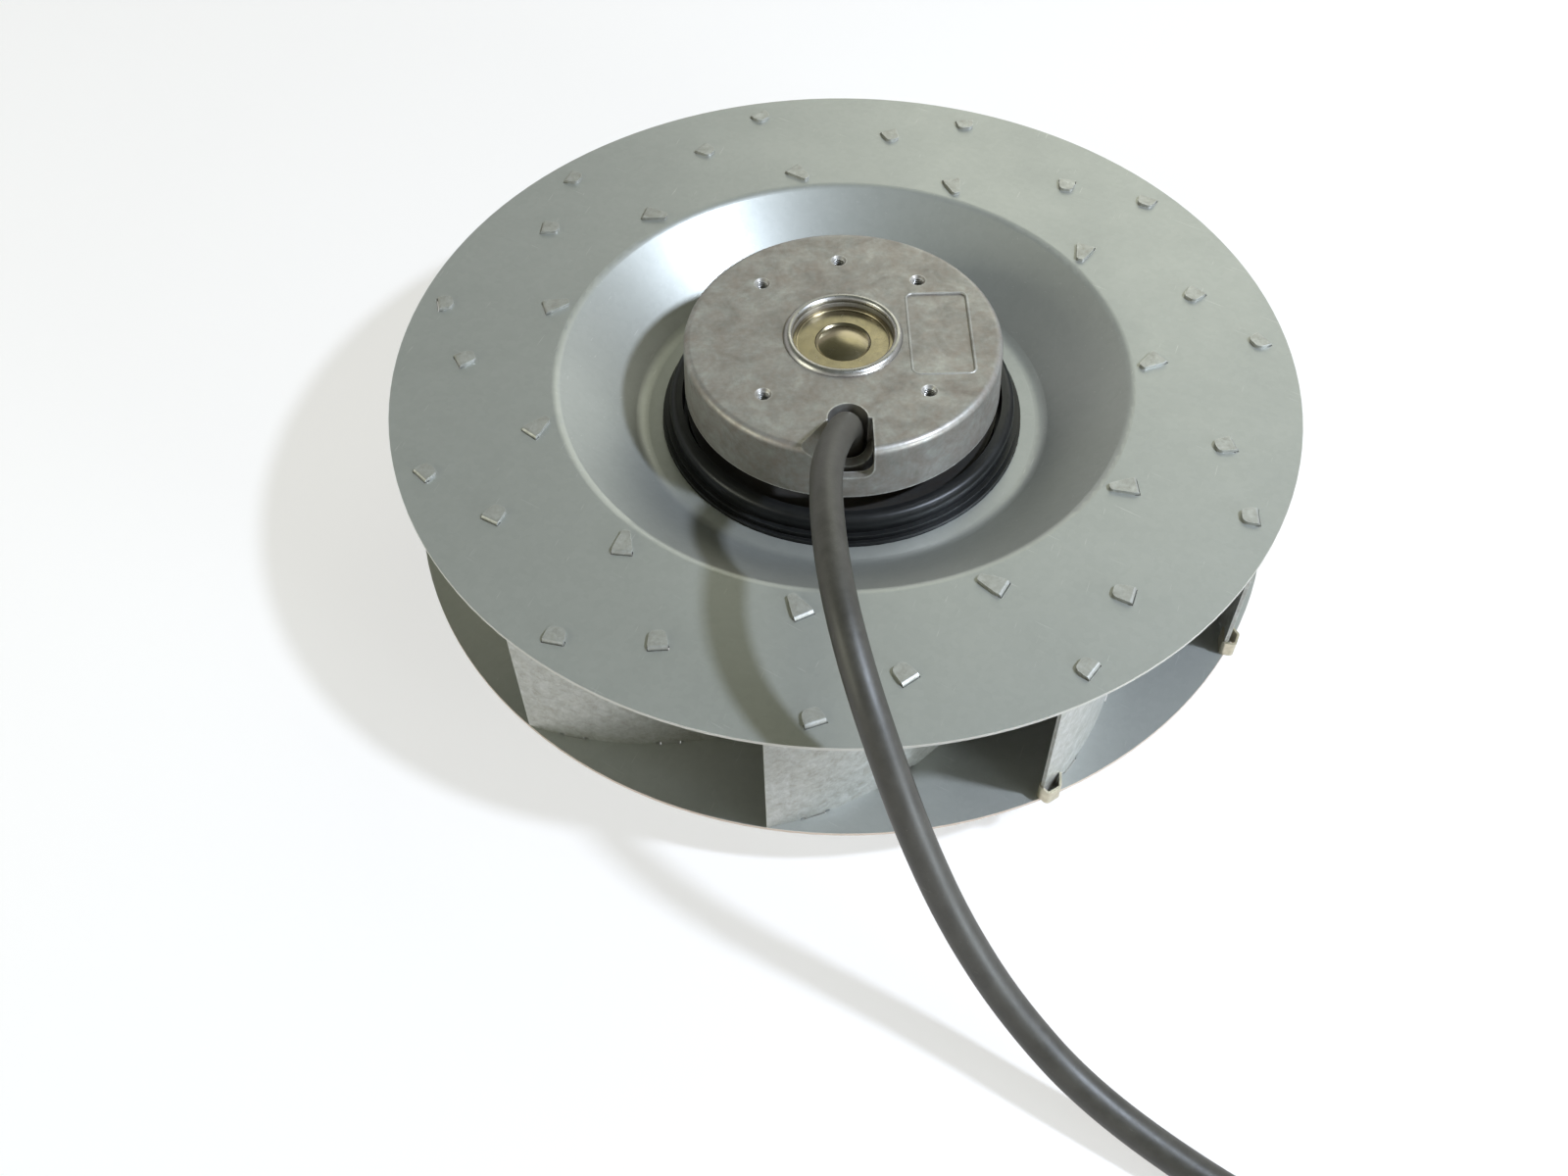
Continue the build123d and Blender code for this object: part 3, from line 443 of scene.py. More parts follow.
def zincSheet(name, values):
    material, tree, shader, place = newMaterial(name)
    patches = useGroup(tree, mottleGroup, (-5, 0), place, Size=values["patchSize"],
                       Contrast=values["patchContrast"])
    crystals = useGroup(tree, spangleGroup, (-5, 1), place, Size=values["crystalSize"])
    grain = useGroup(tree, rollGrainGroup, (-5, 2), place, Size=values["grainSize"], Turn=values["grainTurn"])
    scratch = useGroup(tree, scratchesGroup, (-5, 3), place, Amount=values["scratchAmount"])
    # Edges and tab folds in a lighter colour: real wear, and a painted highlight along them
    wearAndHighlight = useGroup(tree, edgeWearAndHighlightGroup, (-5, 4), place, Radius=0.25, Amount=values["wearAndHighlightAmount"])
    radius, height = radiusAndHeight(tree, (-5, 6), place)
    # The rim's edge face takes its own lighter colour: bare sheared sheet, and a painted highlight along the rim.
    cut = mapRange(tree, (-2, 6), radius, (values["cutRadius"] - 0.02) * mm, values["cutRadius"] * mm, 0, 1)
    shade = mixColour(tree, (0, 0), patches, values["dark"], values["light"])
    crystalShade = mapRange(tree, (-2, 1), crystals, 0.0, 1.0, 1 - values["crystalShare"],
                            1 + values["crystalShare"])
    tone = addNode(tree, "ShaderNodeVectorMath", (1, 0), operation="SCALE")
    join(tree, shade, tone.inputs[0])
    join(tree, crystalShade, tone.inputs["Scale"])
    colour = mixColour(tree, (3, 0), cut, tone.outputs[0], values["cut"])
    rubbedAndHighlit = calc(tree, "MAXIMUM", (3, 3), wearAndHighlight, scratch)
    join(tree, mixColour(tree, (5, 0), rubbedAndHighlit, colour, values["wornAndHighlight"]), shader.inputs["Base Color"])
    rough = mapRange(tree, (3, 1), patches, 0.0, 1.0, values["roughHigh"], values["roughLow"])
    rough = calc(tree, "ADD", (4, 1), rough, mapRange(tree, (3, 2), grain, 0.3, 0.7, -0.05, 0.05))
    join(tree, calc(tree, "SUBTRACT", (6, 1), rough, calc(tree, "MULTIPLY", (5, 2), rubbedAndHighlit, 0.12)),
         shader.inputs["Roughness"])
    shader.inputs["Metallic"].default_value = values["metallic"]
    addBump(tree, shader, grain, values["bumpStrength"], values["bumpDepth"])
    return material


dress(zincSheet("zincBackPlate", backPlateValues), "back_plate")
dress(zincSheet("zincShroud", shroudValues), "inlet_shroud")
dress(zincSheet("zincBlades", bladeValues), *[name for name in nodes if name.startswith("blade_")])
print("wheel dressed")


# Die-cast aluminium: grey skin with brownish blotches, bright on its edges from wear and a painted highlight
flangeValues = {
    "dark": (0.215, 0.21, 0.19, 1), "light": (0.42, 0.42, 0.40, 1), "stain": (0.235, 0.18, 0.15, 1),
    "patchSize": 9.0, "patchContrast": 2.9, "stainShare": 0.6, "skinSize": 0.5, "metallic": 0.6,
    "roughLow": 0.36, "roughHigh": 0.50, "bumpStrength": 0.35, "bumpDepth": 0.05,
    # the worn colour is for rubbed edges and for a painted highlight along them
    "wornAndHighlight": (0.80, 0.79, 0.76, 1), "wearAndHighlightRadius": 0.9, "wearAndHighlightAmount": 0.9, "dustAmount": 0.1,
}
# The cage is near black, much darker than bare cast aluminium.
cageValues = dict(flangeValues, dark=(0.022, 0.022, 0.022, 1), light=(0.05, 0.05, 0.048, 1),
                  stain=(0.04, 0.03, 0.022, 1), wornAndHighlight=(0.12, 0.12, 0.12, 1), metallic=0.3, dustAmount=0.0)
collarValues = dict(flangeValues, dark=(0.34, 0.335, 0.32, 1), light=(0.50, 0.495, 0.48, 1), stainShare=0.2,
                    skinSize=0.3, metallic=0.95, roughLow=0.24, roughHigh=0.34, bumpStrength=0.15,
                    wearAndHighlightRadius=0.3, wearAndHighlightAmount=0.2, dustAmount=0.0)


def castMetal(name, values):
    material, tree, shader, place = newMaterial(name)
    patches = useGroup(tree, mottleGroup, (-5, 0), place, Size=values["patchSize"],
                       Contrast=values["patchContrast"])
    stains = useGroup(tree, mottleGroup, (-5, 1), place, Size=values["patchSize"] * 0.55, Contrast=3.0)
    skin = useGroup(tree, castSkinGroup, (-5, 2), place, Size=values["skinSize"])
    # Edges in the lighter worn colour: real wear, and a painted highlight along the rounded edges
    wearAndHighlight = useGroup(tree, edgeWearAndHighlightGroup, (-5, 3), place, Radius=values["wearAndHighlightRadius"],
                    Amount=values["wearAndHighlightAmount"])
    dusty = useGroup(tree, dustGroup, (-5, 4), place, Amount=values["dustAmount"])
    shade = mixColour(tree, (0, 0), patches, values["dark"], values["light"])
    stained = calc(tree, "MULTIPLY", (0, 1), stains, values["stainShare"])
    shade = mixColour(tree, (2, 0), stained, shade, values["stain"])
    shade = mixColour(tree, (3, 0), dusty, shade, (0.42, 0.39, 0.33, 1))
    join(tree, mixColour(tree, (5, 0), wearAndHighlight, shade, values["wornAndHighlight"]), shader.inputs["Base Color"])
    rough = mapRange(tree, (3, 1), patches, 0.0, 1.0, values["roughHigh"], values["roughLow"])
    rough = calc(tree, "ADD", (4, 1), rough, mapRange(tree, (3, 2), skin, 0.3, 0.7, -0.06, 0.06))
    join(tree, calc(tree, "SUBTRACT", (6, 1), rough, calc(tree, "MULTIPLY", (5, 2), wearAndHighlight, 0.18)),
         shader.inputs["Roughness"])
    shader.inputs["Metallic"].default_value = values["metallic"]
    addBump(tree, shader, skin, values["bumpStrength"], values["bumpDepth"])
    return material


castAluminium = castMetal("castAluminium", flangeValues)
dress(castAluminium, "stator_flange")
dress(castMetal("castCage", cageValues), "rotor_cage")

# Black stoved paint of the rotor
rotorPaintValues = {
    "dark": (0.004, 0.004, 0.0045, 1), "light": (0.012, 0.013, 0.014, 1), "dust": (0.10, 0.10, 0.09, 1),
    "wornAndHighlight": (0.09, 0.09, 0.085, 1), "roughLow": 0.26, "roughHigh": 0.42, "peelSize": 1.1, "specular": 0.32,
    "bumpStrength": 0.2, "bumpDepth": 0.05, "dustAmount": 0.05, "wearAndHighlightAmount": 0.35,
}


def blackPaint(values):
    material, tree, shader, place = newMaterial("rotorPaint")
    patches = useGroup(tree, mottleGroup, (-5, 0), place, Size=18.0, Contrast=2.0)
    peel = useGroup(tree, castSkinGroup, (-5, 2), place, Size=values["peelSize"])
    wearAndHighlight = useGroup(tree, edgeWearAndHighlightGroup, (-5, 3), place, Radius=0.3, Amount=values["wearAndHighlightAmount"])
    dusty = useGroup(tree, dustGroup, (-5, 4), place, Amount=values["dustAmount"], Size=7.0)
    shade = mixColour(tree, (0, 0), patches, values["dark"], values["light"])
    shade = mixColour(tree, (2, 0), dusty, shade, values["dust"])
    join(tree, mixColour(tree, (4, 0), wearAndHighlight, shade, values["wornAndHighlight"]), shader.inputs["Base Color"])
    rough = mapRange(tree, (2, 1), patches, 0.0, 1.0, values["roughLow"], values["roughHigh"])
    join(tree, calc(tree, "ADD", (5, 1), rough, dusty), shader.inputs["Roughness"])
    shader.inputs["Specular IOR Level"].default_value = values["specular"]
    addBump(tree, shader, peel, values["bumpStrength"], values["bumpDepth"])
    return material


dress(blackPaint(rotorPaintValues), "rotor_pot")

# Yellow passivated sheet of the cap and the balance clips
capValues = {
    "dark": (0.27, 0.23, 0.145, 1), "light": (0.39, 0.34, 0.235, 1), "haze": (0.22, 0.205, 0.18, 1),
    "patchSize": 7.0, "metallic": 1.0, "roughLow": 0.2, "roughHigh": 0.28, "wearAndHighlightAmount": 0.15,
}
clipValues = dict(capValues, dark=(0.48, 0.43, 0.30, 1), light=(0.70, 0.64, 0.50, 1), patchSize=2.5, metallic=0.8,
                  roughLow=0.28, roughHigh=0.4, wearAndHighlightAmount=0.5)


def yellowZinc(name, values):
    material, tree, shader, place = newMaterial(name)
    patches = useGroup(tree, mottleGroup, (-5, 0), place, Size=values["patchSize"], Contrast=2.2)
    haze = useGroup(tree, mottleGroup, (-5, 1), place, Size=values["patchSize"] * 0.6, Contrast=3.0)
    marks = useGroup(tree, turningGroup, (-5, 2), place, Size=0.25)
    wearAndHighlight = useGroup(tree, edgeWearAndHighlightGroup, (-5, 3), place, Radius=0.2, Amount=values["wearAndHighlightAmount"])
    shade = mixColour(tree, (0, 0), patches, values["dark"], values["light"])
    shade = mixColour(tree, (2, 0), calc(tree, "MULTIPLY", (1, 1), haze, 0.3), shade, values["haze"])
    join(tree, mixColour(tree, (4, 0), wearAndHighlight, shade, (0.85, 0.82, 0.72, 1)), shader.inputs["Base Color"])
    rough = mapRange(tree, (2, 1), haze, 0.0, 1.0, values["roughLow"], values["roughHigh"])
    join(tree, rough, shader.inputs["Roughness"])
    shader.inputs["Metallic"].default_value = values["metallic"]
    addBump(tree, shader, marks, 0.05, 0.004)
    return material


dress(yellowZinc("capZinc", capValues), "bearing_cap")
dress(yellowZinc("clipZinc", clipValues), *[name for name in nodes if name.startswith("balance_weight")])

# Turned, ground and sprung steel inside the motor
groundSteelValues = {"dark": (0.50, 0.50, 0.51, 1), "light": (0.68, 0.69, 0.70, 1), "markSize": 0.12,
                     "roughLow": 0.16, "roughHigh": 0.3}
ballValues = dict(groundSteelValues, markSize=2.0, roughLow=0.06, roughHigh=0.12, light=(0.78, 0.78, 0.8, 1))
ballCageValues = dict(groundSteelValues, dark=(0.42, 0.37, 0.26, 1), light=(0.6, 0.55, 0.42, 1), markSize=0.5,
                      roughLow=0.26, roughHigh=0.4)
springValues = dict(groundSteelValues, dark=(0.05, 0.05, 0.055, 1), light=(0.13, 0.13, 0.14, 1), markSize=0.4,
                    roughLow=0.36, roughHigh=0.5)
tinValues = dict(groundSteelValues, dark=(0.52, 0.52, 0.50, 1), light=(0.74, 0.74, 0.72, 1), markSize=0.5,
                 roughLow=0.22, roughHigh=0.38)


def turnedSteel(name, values):
    material, tree, shader, place = newMaterial(name)
    marks = useGroup(tree, turningGroup, (-5, 0), place, Size=values["markSize"])
    film = useGroup(tree, mottleGroup, (-5, 1), place, Size=4.0, Contrast=2.0)
    wearAndHighlight = useGroup(tree, edgeWearAndHighlightGroup, (-5, 2), place, Radius=0.15, Amount=0.5)
    both = calc(tree, "ADD", (-2, 0), calc(tree, "MULTIPLY", (-3, 0), marks, 0.5),
                calc(tree, "MULTIPLY", (-3, 1), film, 0.5))
    shade = mixColour(tree, (0, 0), both, values["dark"], values["light"])
    join(tree, mixColour(tree, (2, 0), wearAndHighlight, shade, (0.8, 0.8, 0.8, 1)), shader.inputs["Base Color"])
    join(tree, mapRange(tree, (2, 1), both, 0.3, 0.7, values["roughHigh"], values["roughLow"]),
         shader.inputs["Roughness"])
    shader.inputs["Metallic"].default_value = 1.0
    addBump(tree, shader, marks, 0.15, 0.005)
    return material


levels = ["upper", "lower"]
ringNames = [f"{level}_bearing_{side}_ring" for level in levels for side in ("outer", "inner")]
dress(turnedSteel("groundSteel", groundSteelValues), "shaft", *ringNames)
dress(turnedSteel("ballSteel", ballValues), *[f"{level}_bearing_balls" for level in levels])
dress(turnedSteel("ballCageSteel", ballCageValues), *[f"{level}_bearing_cage" for level in levels])
dress(turnedSteel("springSteel", springValues), "shaft_clip", "preload_spring")
dress(turnedSteel("tinnedCopper", tinValues), "core_ferrules")

# Stacks of thin electrical sheet, with a dark line between the sheets
stackValues = {"sheetThickness": 0.5, "sheet": (0.26, 0.27, 0.30, 1), "light": (0.38, 0.38, 0.39, 1),
               "gap": (0.05, 0.05, 0.06, 1), "rust": (0.24, 0.13, 0.07, 1), "rustShare": 0.25}


def laminations(values):
    material, tree, shader, place = newMaterial("laminations")
    radius, height = radiusAndHeight(tree, (-6, 0), place)
    layer = calc(tree, "FRACT", (-2, 0), calc(tree, "DIVIDE", (-3, 0), height, values["sheetThickness"] * mm))
    line = mapRange(tree, (-1, 0), calc(tree, "ABSOLUTE", (-1, 1), calc(tree, "SUBTRACT", (-2, 1), layer, 0.5)),
                    0.38, 0.47, 0.0, 1.0)
    patches = useGroup(tree, mottleGroup, (-5, 2), place, Size=7.0, Contrast=2.4)
    rust = useGroup(tree, mottleGroup, (-5, 3), place, Size=3.5, Contrast=4.0)
    shade = mixColour(tree, (1, 0), patches, values["sheet"], values["light"])
    shade = mixColour(tree, (2, 0), calc(tree, "MULTIPLY", (1, 2), rust, values["rustShare"]), shade,
                      values["rust"])
    join(tree, mixColour(tree, (4, 0), line, shade, values["gap"]), shader.inputs["Base Color"])
    join(tree, mapRange(tree, (4, 1), patches, 0.0, 1.0, 0.52, 0.36), shader.inputs["Roughness"])
    shader.inputs["Metallic"].default_value = 0.7
    addBump(tree, shader, calc(tree, "SUBTRACT", (6, 2), 1.0, line), 0.5, 0.05)
    return material


dress(laminations(stackValues), "stator_core", "rotor_core")

# Lacquered copper wire, wound round the axis in the end turns, with painted shade in the grooves between the turns
windingValues = {"wire": 0.45, "dark": (0.22, 0.07, 0.025, 1), "light": (0.62, 0.26, 0.11, 1)}


def lacqueredWire(values):
    material, tree, shader, place = newMaterial("lacqueredWire")
    radius, height = radiusAndHeight(tree, (-7, 0), place)
    sway = noise(tree, (-6, 2), place, 90.0, 2.0, 0.5)["Fac"]
    lift = calc(tree, "MULTIPLY", (-4, 2), sway, 0.0014)
    rows = calc(tree, "ADD", (-3, 0), calc(tree, "ADD", (-4, 0), radius, height), lift)
    turns = calc(tree, "FRACT", (-2, 0), calc(tree, "DIVIDE", (-3, 1), rows, values["wire"] * mm))
    crown = calc(tree, "MULTIPLY", (-1, 0), turns, calc(tree, "SUBTRACT", (-1, 1), 1.0, turns))
    round = mapRange(tree, (0, 0), crown, 0.0, 0.25, 0.0, 1.0)
    patches = useGroup(tree, mottleGroup, (-5, 4), place, Size=5.0, Contrast=2.0)
    # The crowns of the turns take the light colour and the grooves between them the dark one: a painted highlight on
    # the crowns and painted shade between the turns.
    shade = mixColour(tree, (2, 0), calc(tree, "MULTIPLY", (1, 1), round, patches), values["dark"],
                      values["light"])
    join(tree, shade, shader.inputs["Base Color"])
    join(tree, mapRange(tree, (2, 1), patches, 0.0, 1.0, 0.24, 0.4), shader.inputs["Roughness"])
    shader.inputs["Metallic"].default_value = 0.6
    addBump(tree, shader, round, 0.7, 0.15)
    return material


dress(lacqueredWire(windingValues), "stator_winding")

# Moulded plastics and wire insulation
insulatorValues = {"dark": (0.62, 0.60, 0.50, 1), "light": (0.80, 0.78, 0.68, 1), "grainSize": 0.4,
                   "roughLow": 0.42, "roughHigh": 0.58, "bump": 0.15}
cutoutValues = dict(insulatorValues, dark=(0.40, 0.03, 0.02, 1), light=(0.62, 0.06, 0.04, 1), roughLow=0.3)
bushValues = dict(insulatorValues, dark=(0.012, 0.012, 0.012, 1), light=(0.035, 0.035, 0.033, 1))
leadValues = dict(insulatorValues, dark=(0.02, 0.05, 0.25, 1), light=(0.04, 0.09, 0.36, 1))
brownCoreValues = dict(insulatorValues, dark=(0.09, 0.03, 0.012, 1), light=(0.16, 0.06, 0.025, 1), roughLow=0.34)
blueCoreValues = dict(brownCoreValues, dark=(0.02, 0.09, 0.34, 1), light=(0.05, 0.16, 0.48, 1))
blackCoreValues = dict(brownCoreValues, dark=(0.012, 0.012, 0.012, 1), light=(0.03, 0.03, 0.03, 1))


def mouldedPlastic(name, values, stripe=None):
    material, tree, shader, place = newMaterial(name)
    patches = useGroup(tree, mottleGroup, (-5, 0), place, Size=3.0, Contrast=1.4)
    grain = useGroup(tree, castSkinGroup, (-5, 1), place, Size=values["grainSize"])
    shade = mixColour(tree, (0, 0), patches, values["dark"], values["light"])
    if stripe:
        across = addNode(tree, "ShaderNodeVectorMath", (-3, 3), operation="DOT_PRODUCT")
        join(tree, addNode(tree, "ShaderNodeNewGeometry", (-4, 3)).outputs["Normal"], across.inputs[0])
        across.inputs[1].default_value = stripe["side"]
        beside = calc(tree, "ABSOLUTE", (-2, 3), across.outputs["Value"])
        inBand = mapRange(tree, (-1, 3), beside, stripe["from"], stripe["from"] + 0.06, 0.0, 1.0)
        shade = mixColour(tree, (2, 0), inBand, shade, stripe["colour"])
    join(tree, shade, shader.inputs["Base Color"])
    join(tree, mapRange(tree, (2, 1), patches, 0.0, 1.0, values["roughLow"], values["roughHigh"]),
         shader.inputs["Roughness"])
    addBump(tree, shader, grain, values["bump"], 0.03)
    return material


greenStripe = {"side": (0.5, 0.86, 0.1), "from": 0.62, "colour": (0.02, 0.28, 0.05, 1)}
yellowCoreValues = dict(brownCoreValues, dark=(0.62, 0.50, 0.03, 1), light=(0.78, 0.66, 0.06, 1))
dress(mouldedPlastic("insulatorPlastic", insulatorValues), "upper_insulator", "lower_insulator")
dress(mouldedPlastic("cutoutSleeve", cutoutValues), "thermal_cutout")
dress(mouldedPlastic("bushPlastic", bushValues), "cable_bush")
dress(mouldedPlastic("leadInsulation", leadValues), "winding_leads")
dress(mouldedPlastic("brownInsulation", brownCoreValues), cores[0])
dress(mouldedPlastic("blackInsulation", blackCoreValues), cores[1])
dress(mouldedPlastic("greenYellowInsulation", yellowCoreValues, greenStripe), cores[2])
dress(mouldedPlastic("blueInsulation", blueCoreValues), cores[3])

# Matt sheath of the cable, dusty grey on a brownish black
sheathValues = {
    "dark": (0.018, 0.016, 0.012, 1), "light": (0.046, 0.042, 0.034, 1), "chalk": (0.14, 0.132, 0.115, 1),
    "roughLow": 0.40, "roughHigh": 0.54, "dustAmount": 0.2, "specular": 0.6,
}


def matteRubber(values):
    material, tree, shader, place = newMaterial("cableSheath")
    patches = useGroup(tree, mottleGroup, (-5, 0), place, Size=8.0, Contrast=2.0)
    grain = useGroup(tree, castSkinGroup, (-5, 1), place, Size=0.45)
    dusty = useGroup(tree, dustGroup, (-5, 2), place, Amount=values["dustAmount"], Size=5.0)
    scuff = useGroup(tree, scratchesGroup, (-5, 3), place, Amount=0.35)
    shade = mixColour(tree, (0, 0), patches, values["dark"], values["light"])
    chalky = calc(tree, "MAXIMUM", (1, 2), dusty, scuff)
    join(tree, mixColour(tree, (2, 0), chalky, shade, values["chalk"]), shader.inputs["Base Color"])
    join(tree, mapRange(tree, (2, 1), patches, 0.0, 1.0, values["roughLow"], values["roughHigh"]),
         shader.inputs["Roughness"])
    shader.inputs["Specular IOR Level"].default_value = values["specular"]
    addBump(tree, shader, grain, 0.5, 0.05)
    return material


dress(matteRubber(sheathValues), cable)
print("motor and cable dressed")

def turnedProfile(name, outline, steps, closed):
    shape = bmesh.new()
    rings = []
    for step in range(steps):
        turn = 2 * math.pi * step / steps
        rings.append([shape.verts.new((radius * math.cos(turn), radius * math.sin(turn), height))
                      for radius, height in outline])
    count = len(outline)
    for step, ring in enumerate(rings):
        following = rings[(step + 1) % steps]
        for index in range(count if closed else count - 1):
            after = (index + 1) % count
            shape.faces.new((ring[index], ring[after], following[after], following[index]))
    if not closed:
        shape.faces.new([ring[0] for ring in rings])
    bmesh.ops.recalc_face_normals(shape, faces=shape.faces)
    mesh = bpy.data.meshes.new(name)
    shape.to_mesh(mesh)
    shape.free()
    for face in mesh.polygons:
        face.use_smooth = len(face.vertices) == 4
    return mesh


# Lip round the bearing's recess, staked over the cap
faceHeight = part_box("stator_flange")[1][2] / mm
collarShape = {
    "steps": 128,
    "outline": [(16.5, -0.25), (16.3, 0.3), (15.95, 0.85), (15.45, 1.25), (14.9, 1.4), (14.4, 1.3),
                (14.0, 0.95), (13.84, 0.3), (13.78, -0.4), (14.2, -0.45)],    # radius, height above the face
}


def makeCollar(values, material):
    outline = [(radius * mm, (faceHeight + height) * mm) for radius, height in values["outline"]]
    mesh = turnedProfile("recess_collar", outline, values["steps"], True)
    piece = addPiece("recess_collar", mesh)
    dress(material, piece)


makeCollar(collarShape, castMetal("burnishedCollar", collarValues))

# Raised bead round the bare panel on the flange
beadValues = {"width": 17.0, "length": 32.0, "centre": (26.5, 0.5), "corner": 2.0, "radius": 0.42,
              "sink": 0.2, "cornerSteps": 6}


def makeBead(values, material):
    data = curveData("panel_bead", 3)
    data.use_fill_caps = False
    spline = data.splines.new("POLY")
    points = []
    halfX = values["width"] / 2 - values["corner"]
    halfY = values["length"] / 2 - values["corner"]
    for quarter, (sideX, sideY) in enumerate([(1, 1), (-1, 1), (-1, -1), (1, -1)]):
        for step in range(values["cornerSteps"] + 1):
            turn = math.pi / 2 * (quarter + step / values["cornerSteps"])
            points.append((values["centre"][0] + sideX * halfX + values["corner"] * math.cos(turn),
                           values["centre"][1] + sideY * halfY + values["corner"] * math.sin(turn),
                           faceHeight - values["sink"]))
    spline.points.add(len(points) - 1)
    for point, spot in zip(spline.points, points):
        point.co = (*(Vector(spot) * mm), 1.0)
        point.radius = values["radius"] * mm
    spline.use_cyclic_u = True
    piece = addPiece("panel_bead", data)
    dress(material, piece)


makeBead(beadValues, castMetal("beadCast", dict(flangeValues, stainShare=0.2, wearAndHighlightAmount=0.5)))

# Thread ridges in the tapped holes
threadValues = {"holeRadius": 1.65, "ridge": 0.2, "pitch": 0.7, "top": 0.7, "depth": 8.6, "circle": 31.0,
                "angles": [45, 135, 225, 315, 90], "stepsPerTurn": 24}
threadSteel = dict(flangeValues, dark=(0.4, 0.4, 0.39, 1), light=(0.62, 0.62, 0.6, 1), roughLow=0.26, roughHigh=0.36,
                   dustAmount=0.0)


def makeThreads(values, material):
    turns = (values["depth"] - values["top"]) / values["pitch"]
    steps = round(turns * values["stepsPerTurn"])
    reach = values["holeRadius"] - values["ridge"] / 3
    for number, angle in enumerate(values["angles"], 1):
        centre = Vector((math.cos(math.radians(angle)), math.sin(math.radians(angle)), 0)) * values["circle"]
        name = f"screw_thread_{number}"
        data = curveData(name, 1)
        spline = data.splines.new("POLY")
        spline.points.add(steps)
        for step, point in enumerate(spline.points):
            turn = 2 * math.pi * step / values["stepsPerTurn"]
            drop = values["top"] + values["pitch"] * step / values["stepsPerTurn"]
            spot = centre + Vector((reach * math.cos(turn), reach * math.sin(turn), faceHeight - drop))
            point.co = (*(spot * mm), 1.0)
            point.radius = values["ridge"] * mm
        piece = addPiece(name, data)
        dress(material, piece)


makeThreads(threadValues, castMetal("cutThread", threadSteel))
print("flange details ready")

# Floor, lights and background
stageValues = {
    "floorColour": (0.95, 0.92, 0.92, 1), "flatRadius": 3.6, "sweep": 1.4, "wallHeight": 3.4,
    "whiteShare": 0.6,    # how far the floor is shown as plain white
    "keyDirection": (0.583, -0.236, 0.777), "keyDistance": 1.3, "keySize": 0.1, "keyPower": 17.5,
    "keyColour": (0.76, 0.85, 1.0),
    "fillDirection": (0.72, -0.66, 0.22), "fillDistance": 1.1, "fillSize": 0.4, "fillPower": 6.5,
    "fillColour": (0.84, 0.94, 1.0),
    "sideDirection": (-0.78, -0.28, 0.40), "sideDistance": 1.0, "sideSize": 0.5, "sidePower": 2.6,
    "sideColour": (0.98, 1.0, 0.80),
    "rearDirection": (0.30, 0.78, 0.55), "rearDistance": 1.2, "rearSize": 0.9, "rearPower": 2.6,
    "rearColour": (0.98, 1.0, 0.82),
    "roomColour": (0.94, 1.0, 0.74, 1), "brightSide": (0.55, 0.5, 0.35), "roomLow": 0.08, "roomHigh": 0.31,
    "horizonGain": 1.5, "zenithGain": 0.6,
}


def makeLamp(name, direction, distance, size, power, colour):
    lamp = bpy.data.lights.new(name, "AREA")
    lamp.shape = "DISK"
    lamp.size = size
    lamp.energy = power
    lamp.color = colour
    piece = bpy.data.objects.new(name, lamp)
    toward = Vector(direction).normalized()
    piece.location = toward * distance
    piece.rotation_mode = "QUATERNION"
    piece.rotation_quaternion = toward.to_track_quat("Z", "Y")
    bpy.context.scene.collection.objects.link(piece)


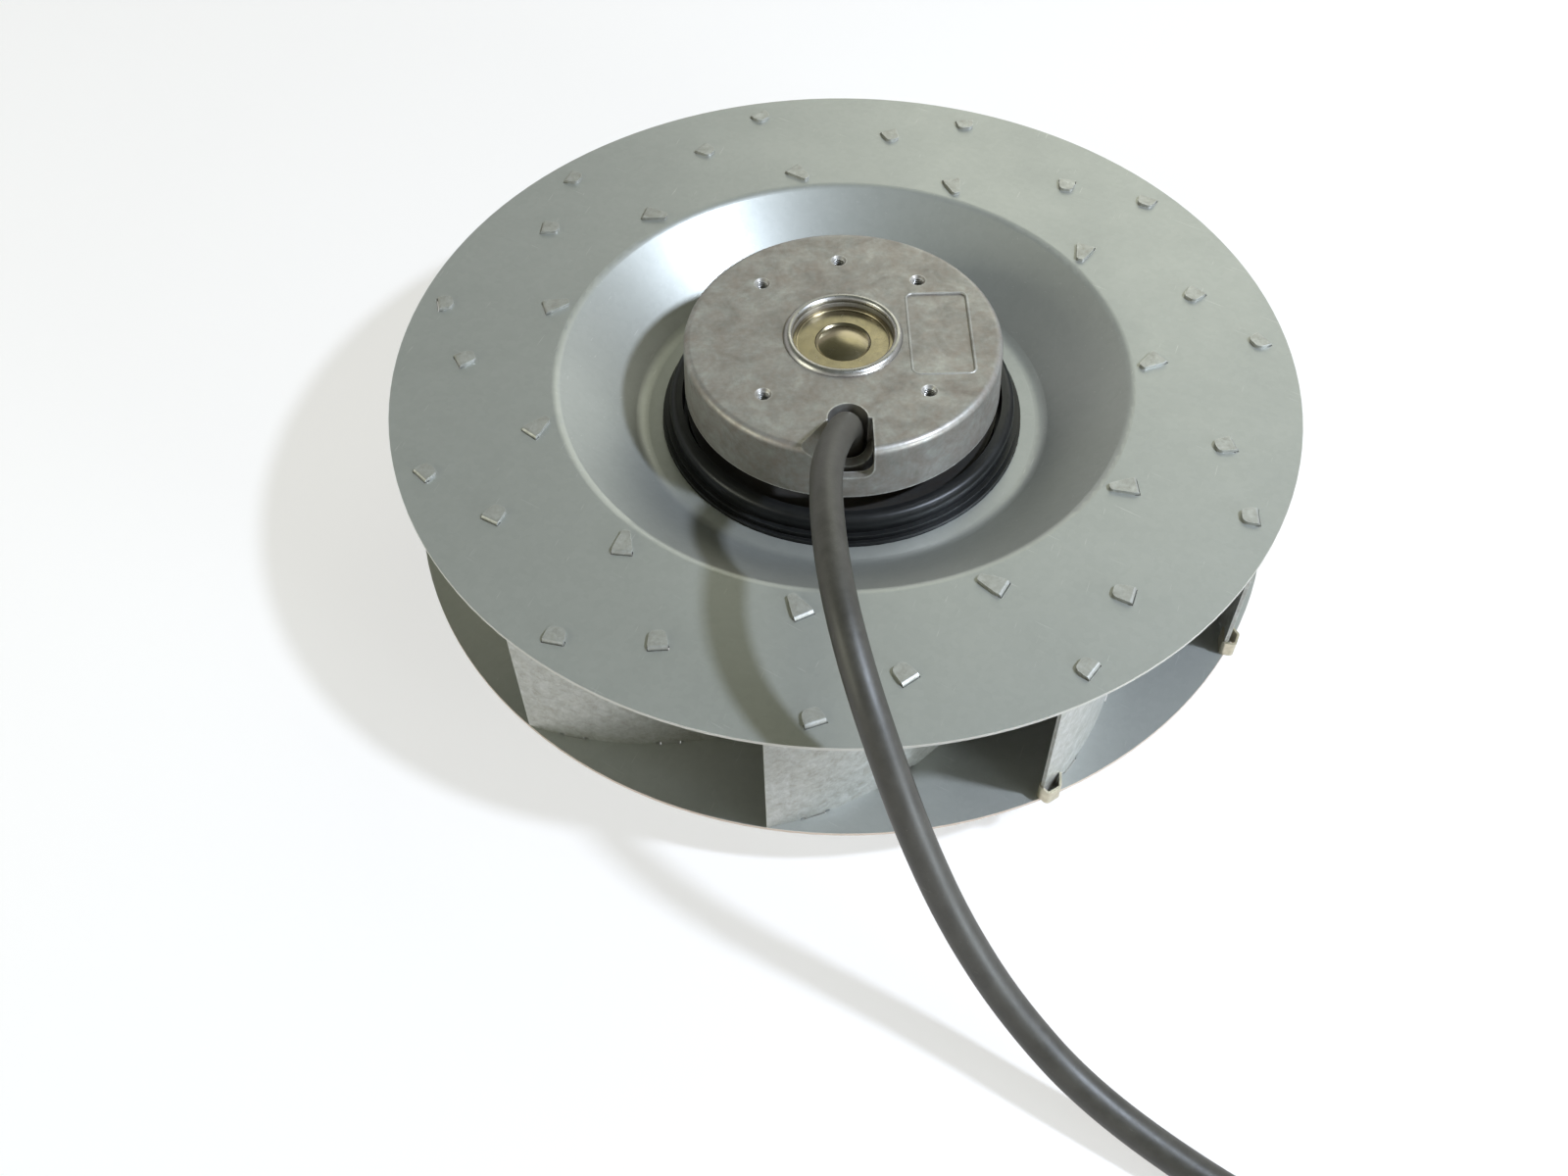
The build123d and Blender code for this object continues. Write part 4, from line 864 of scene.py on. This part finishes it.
def makeRoom(values):
    world = bpy.data.worlds.new("studio")
    bpy.context.scene.world = world
    world.use_nodes = True
    tree = world.node_tree
    tree.nodes.clear()
    lean = addNode(tree, "ShaderNodeVectorMath", (-2, 0), operation="DOT_PRODUCT")
    join(tree, addNode(tree, "ShaderNodeTexCoord", (-4, 0)).outputs["Generated"], lean.inputs[0])
    lean.inputs[1].default_value = Vector(values["brightSide"]).normalized()
    background = addNode(tree, "ShaderNodeBackground", (2, 0))
    background.inputs["Color"].default_value = values["roomColour"]
    strength = mapRange(tree, (0, 0), lean.outputs["Value"], -1, 1, values["roomLow"], values["roomHigh"])
    upward = addNode(tree, "ShaderNodeSeparateXYZ", (-2, 2))
    join(tree, addNode(tree, "ShaderNodeTexCoord", (-4, 2)).outputs["Generated"], upward.inputs[0])
    gain = mapRange(tree, (0, 2), upward.outputs[2], 0, 1, values["horizonGain"], values["zenithGain"])
    join(tree, calc(tree, "MULTIPLY", (1, 0), strength, gain), background.inputs["Strength"])
    output = addNode(tree, "ShaderNodeOutputWorld", (4, 0))
    join(tree, background.outputs[0], output.inputs["Surface"])


def makeFloor(values):
    outline = [(values["flatRadius"], 0.0)]
    for step in range(1, 13):    # the paper sweeps up into a wall
        turn = math.pi / 2 * step / 12
        outline.append((values["flatRadius"] + values["sweep"] * math.sin(turn),
                        values["sweep"] * (1 - math.cos(turn))))
    outline.append((outline[-1][0], values["wallHeight"]))
    mesh = turnedProfile("floor", outline, 96, False)
    floor = bpy.data.objects.new("floor", mesh)
    floor.location.z = -0.0003
    bpy.context.scene.collection.objects.link(floor)
    material, tree, shader, place = newMaterial("floorPaper")
    shader.inputs["Base Color"].default_value = values["floorColour"]
    shader.inputs["Roughness"].default_value = 0.9
    path = addNode(tree, "ShaderNodeLightPath", (6, 4)).outputs
    seen = calc(tree, "ADD", (8, 4), path["Is Camera Ray"], path["Is Glossy Ray"])
    seen = calc(tree, "ADD", (9, 4), seen, path["Is Transmission Ray"], True)
    white = addNode(tree, "ShaderNodeEmission", (10, 5))
    blend = addNode(tree, "ShaderNodeMixShader", (11, 0))
    join(tree, calc(tree, "MULTIPLY", (10, 4), seen, values["whiteShare"]), blend.inputs[0])
    join(tree, shader.outputs[0], blend.inputs[1])
    join(tree, white.outputs[0], blend.inputs[2])
    join(tree, blend.outputs[0], next(node for node in tree.nodes if node.type == "OUTPUT_MATERIAL").inputs[0])
    mesh.materials.append(material)


makeFloor(stageValues)
makeRoom(stageValues)
for lampName in ("key", "fill", "side", "rear"):
    makeLamp(f"{lampName}Light", *[stageValues[lampName + part]
                                   for part in ("Direction", "Distance", "Size", "Power", "Colour")])
bpy.context.scene.view_settings.view_transform = "Standard"
print("stage ready")
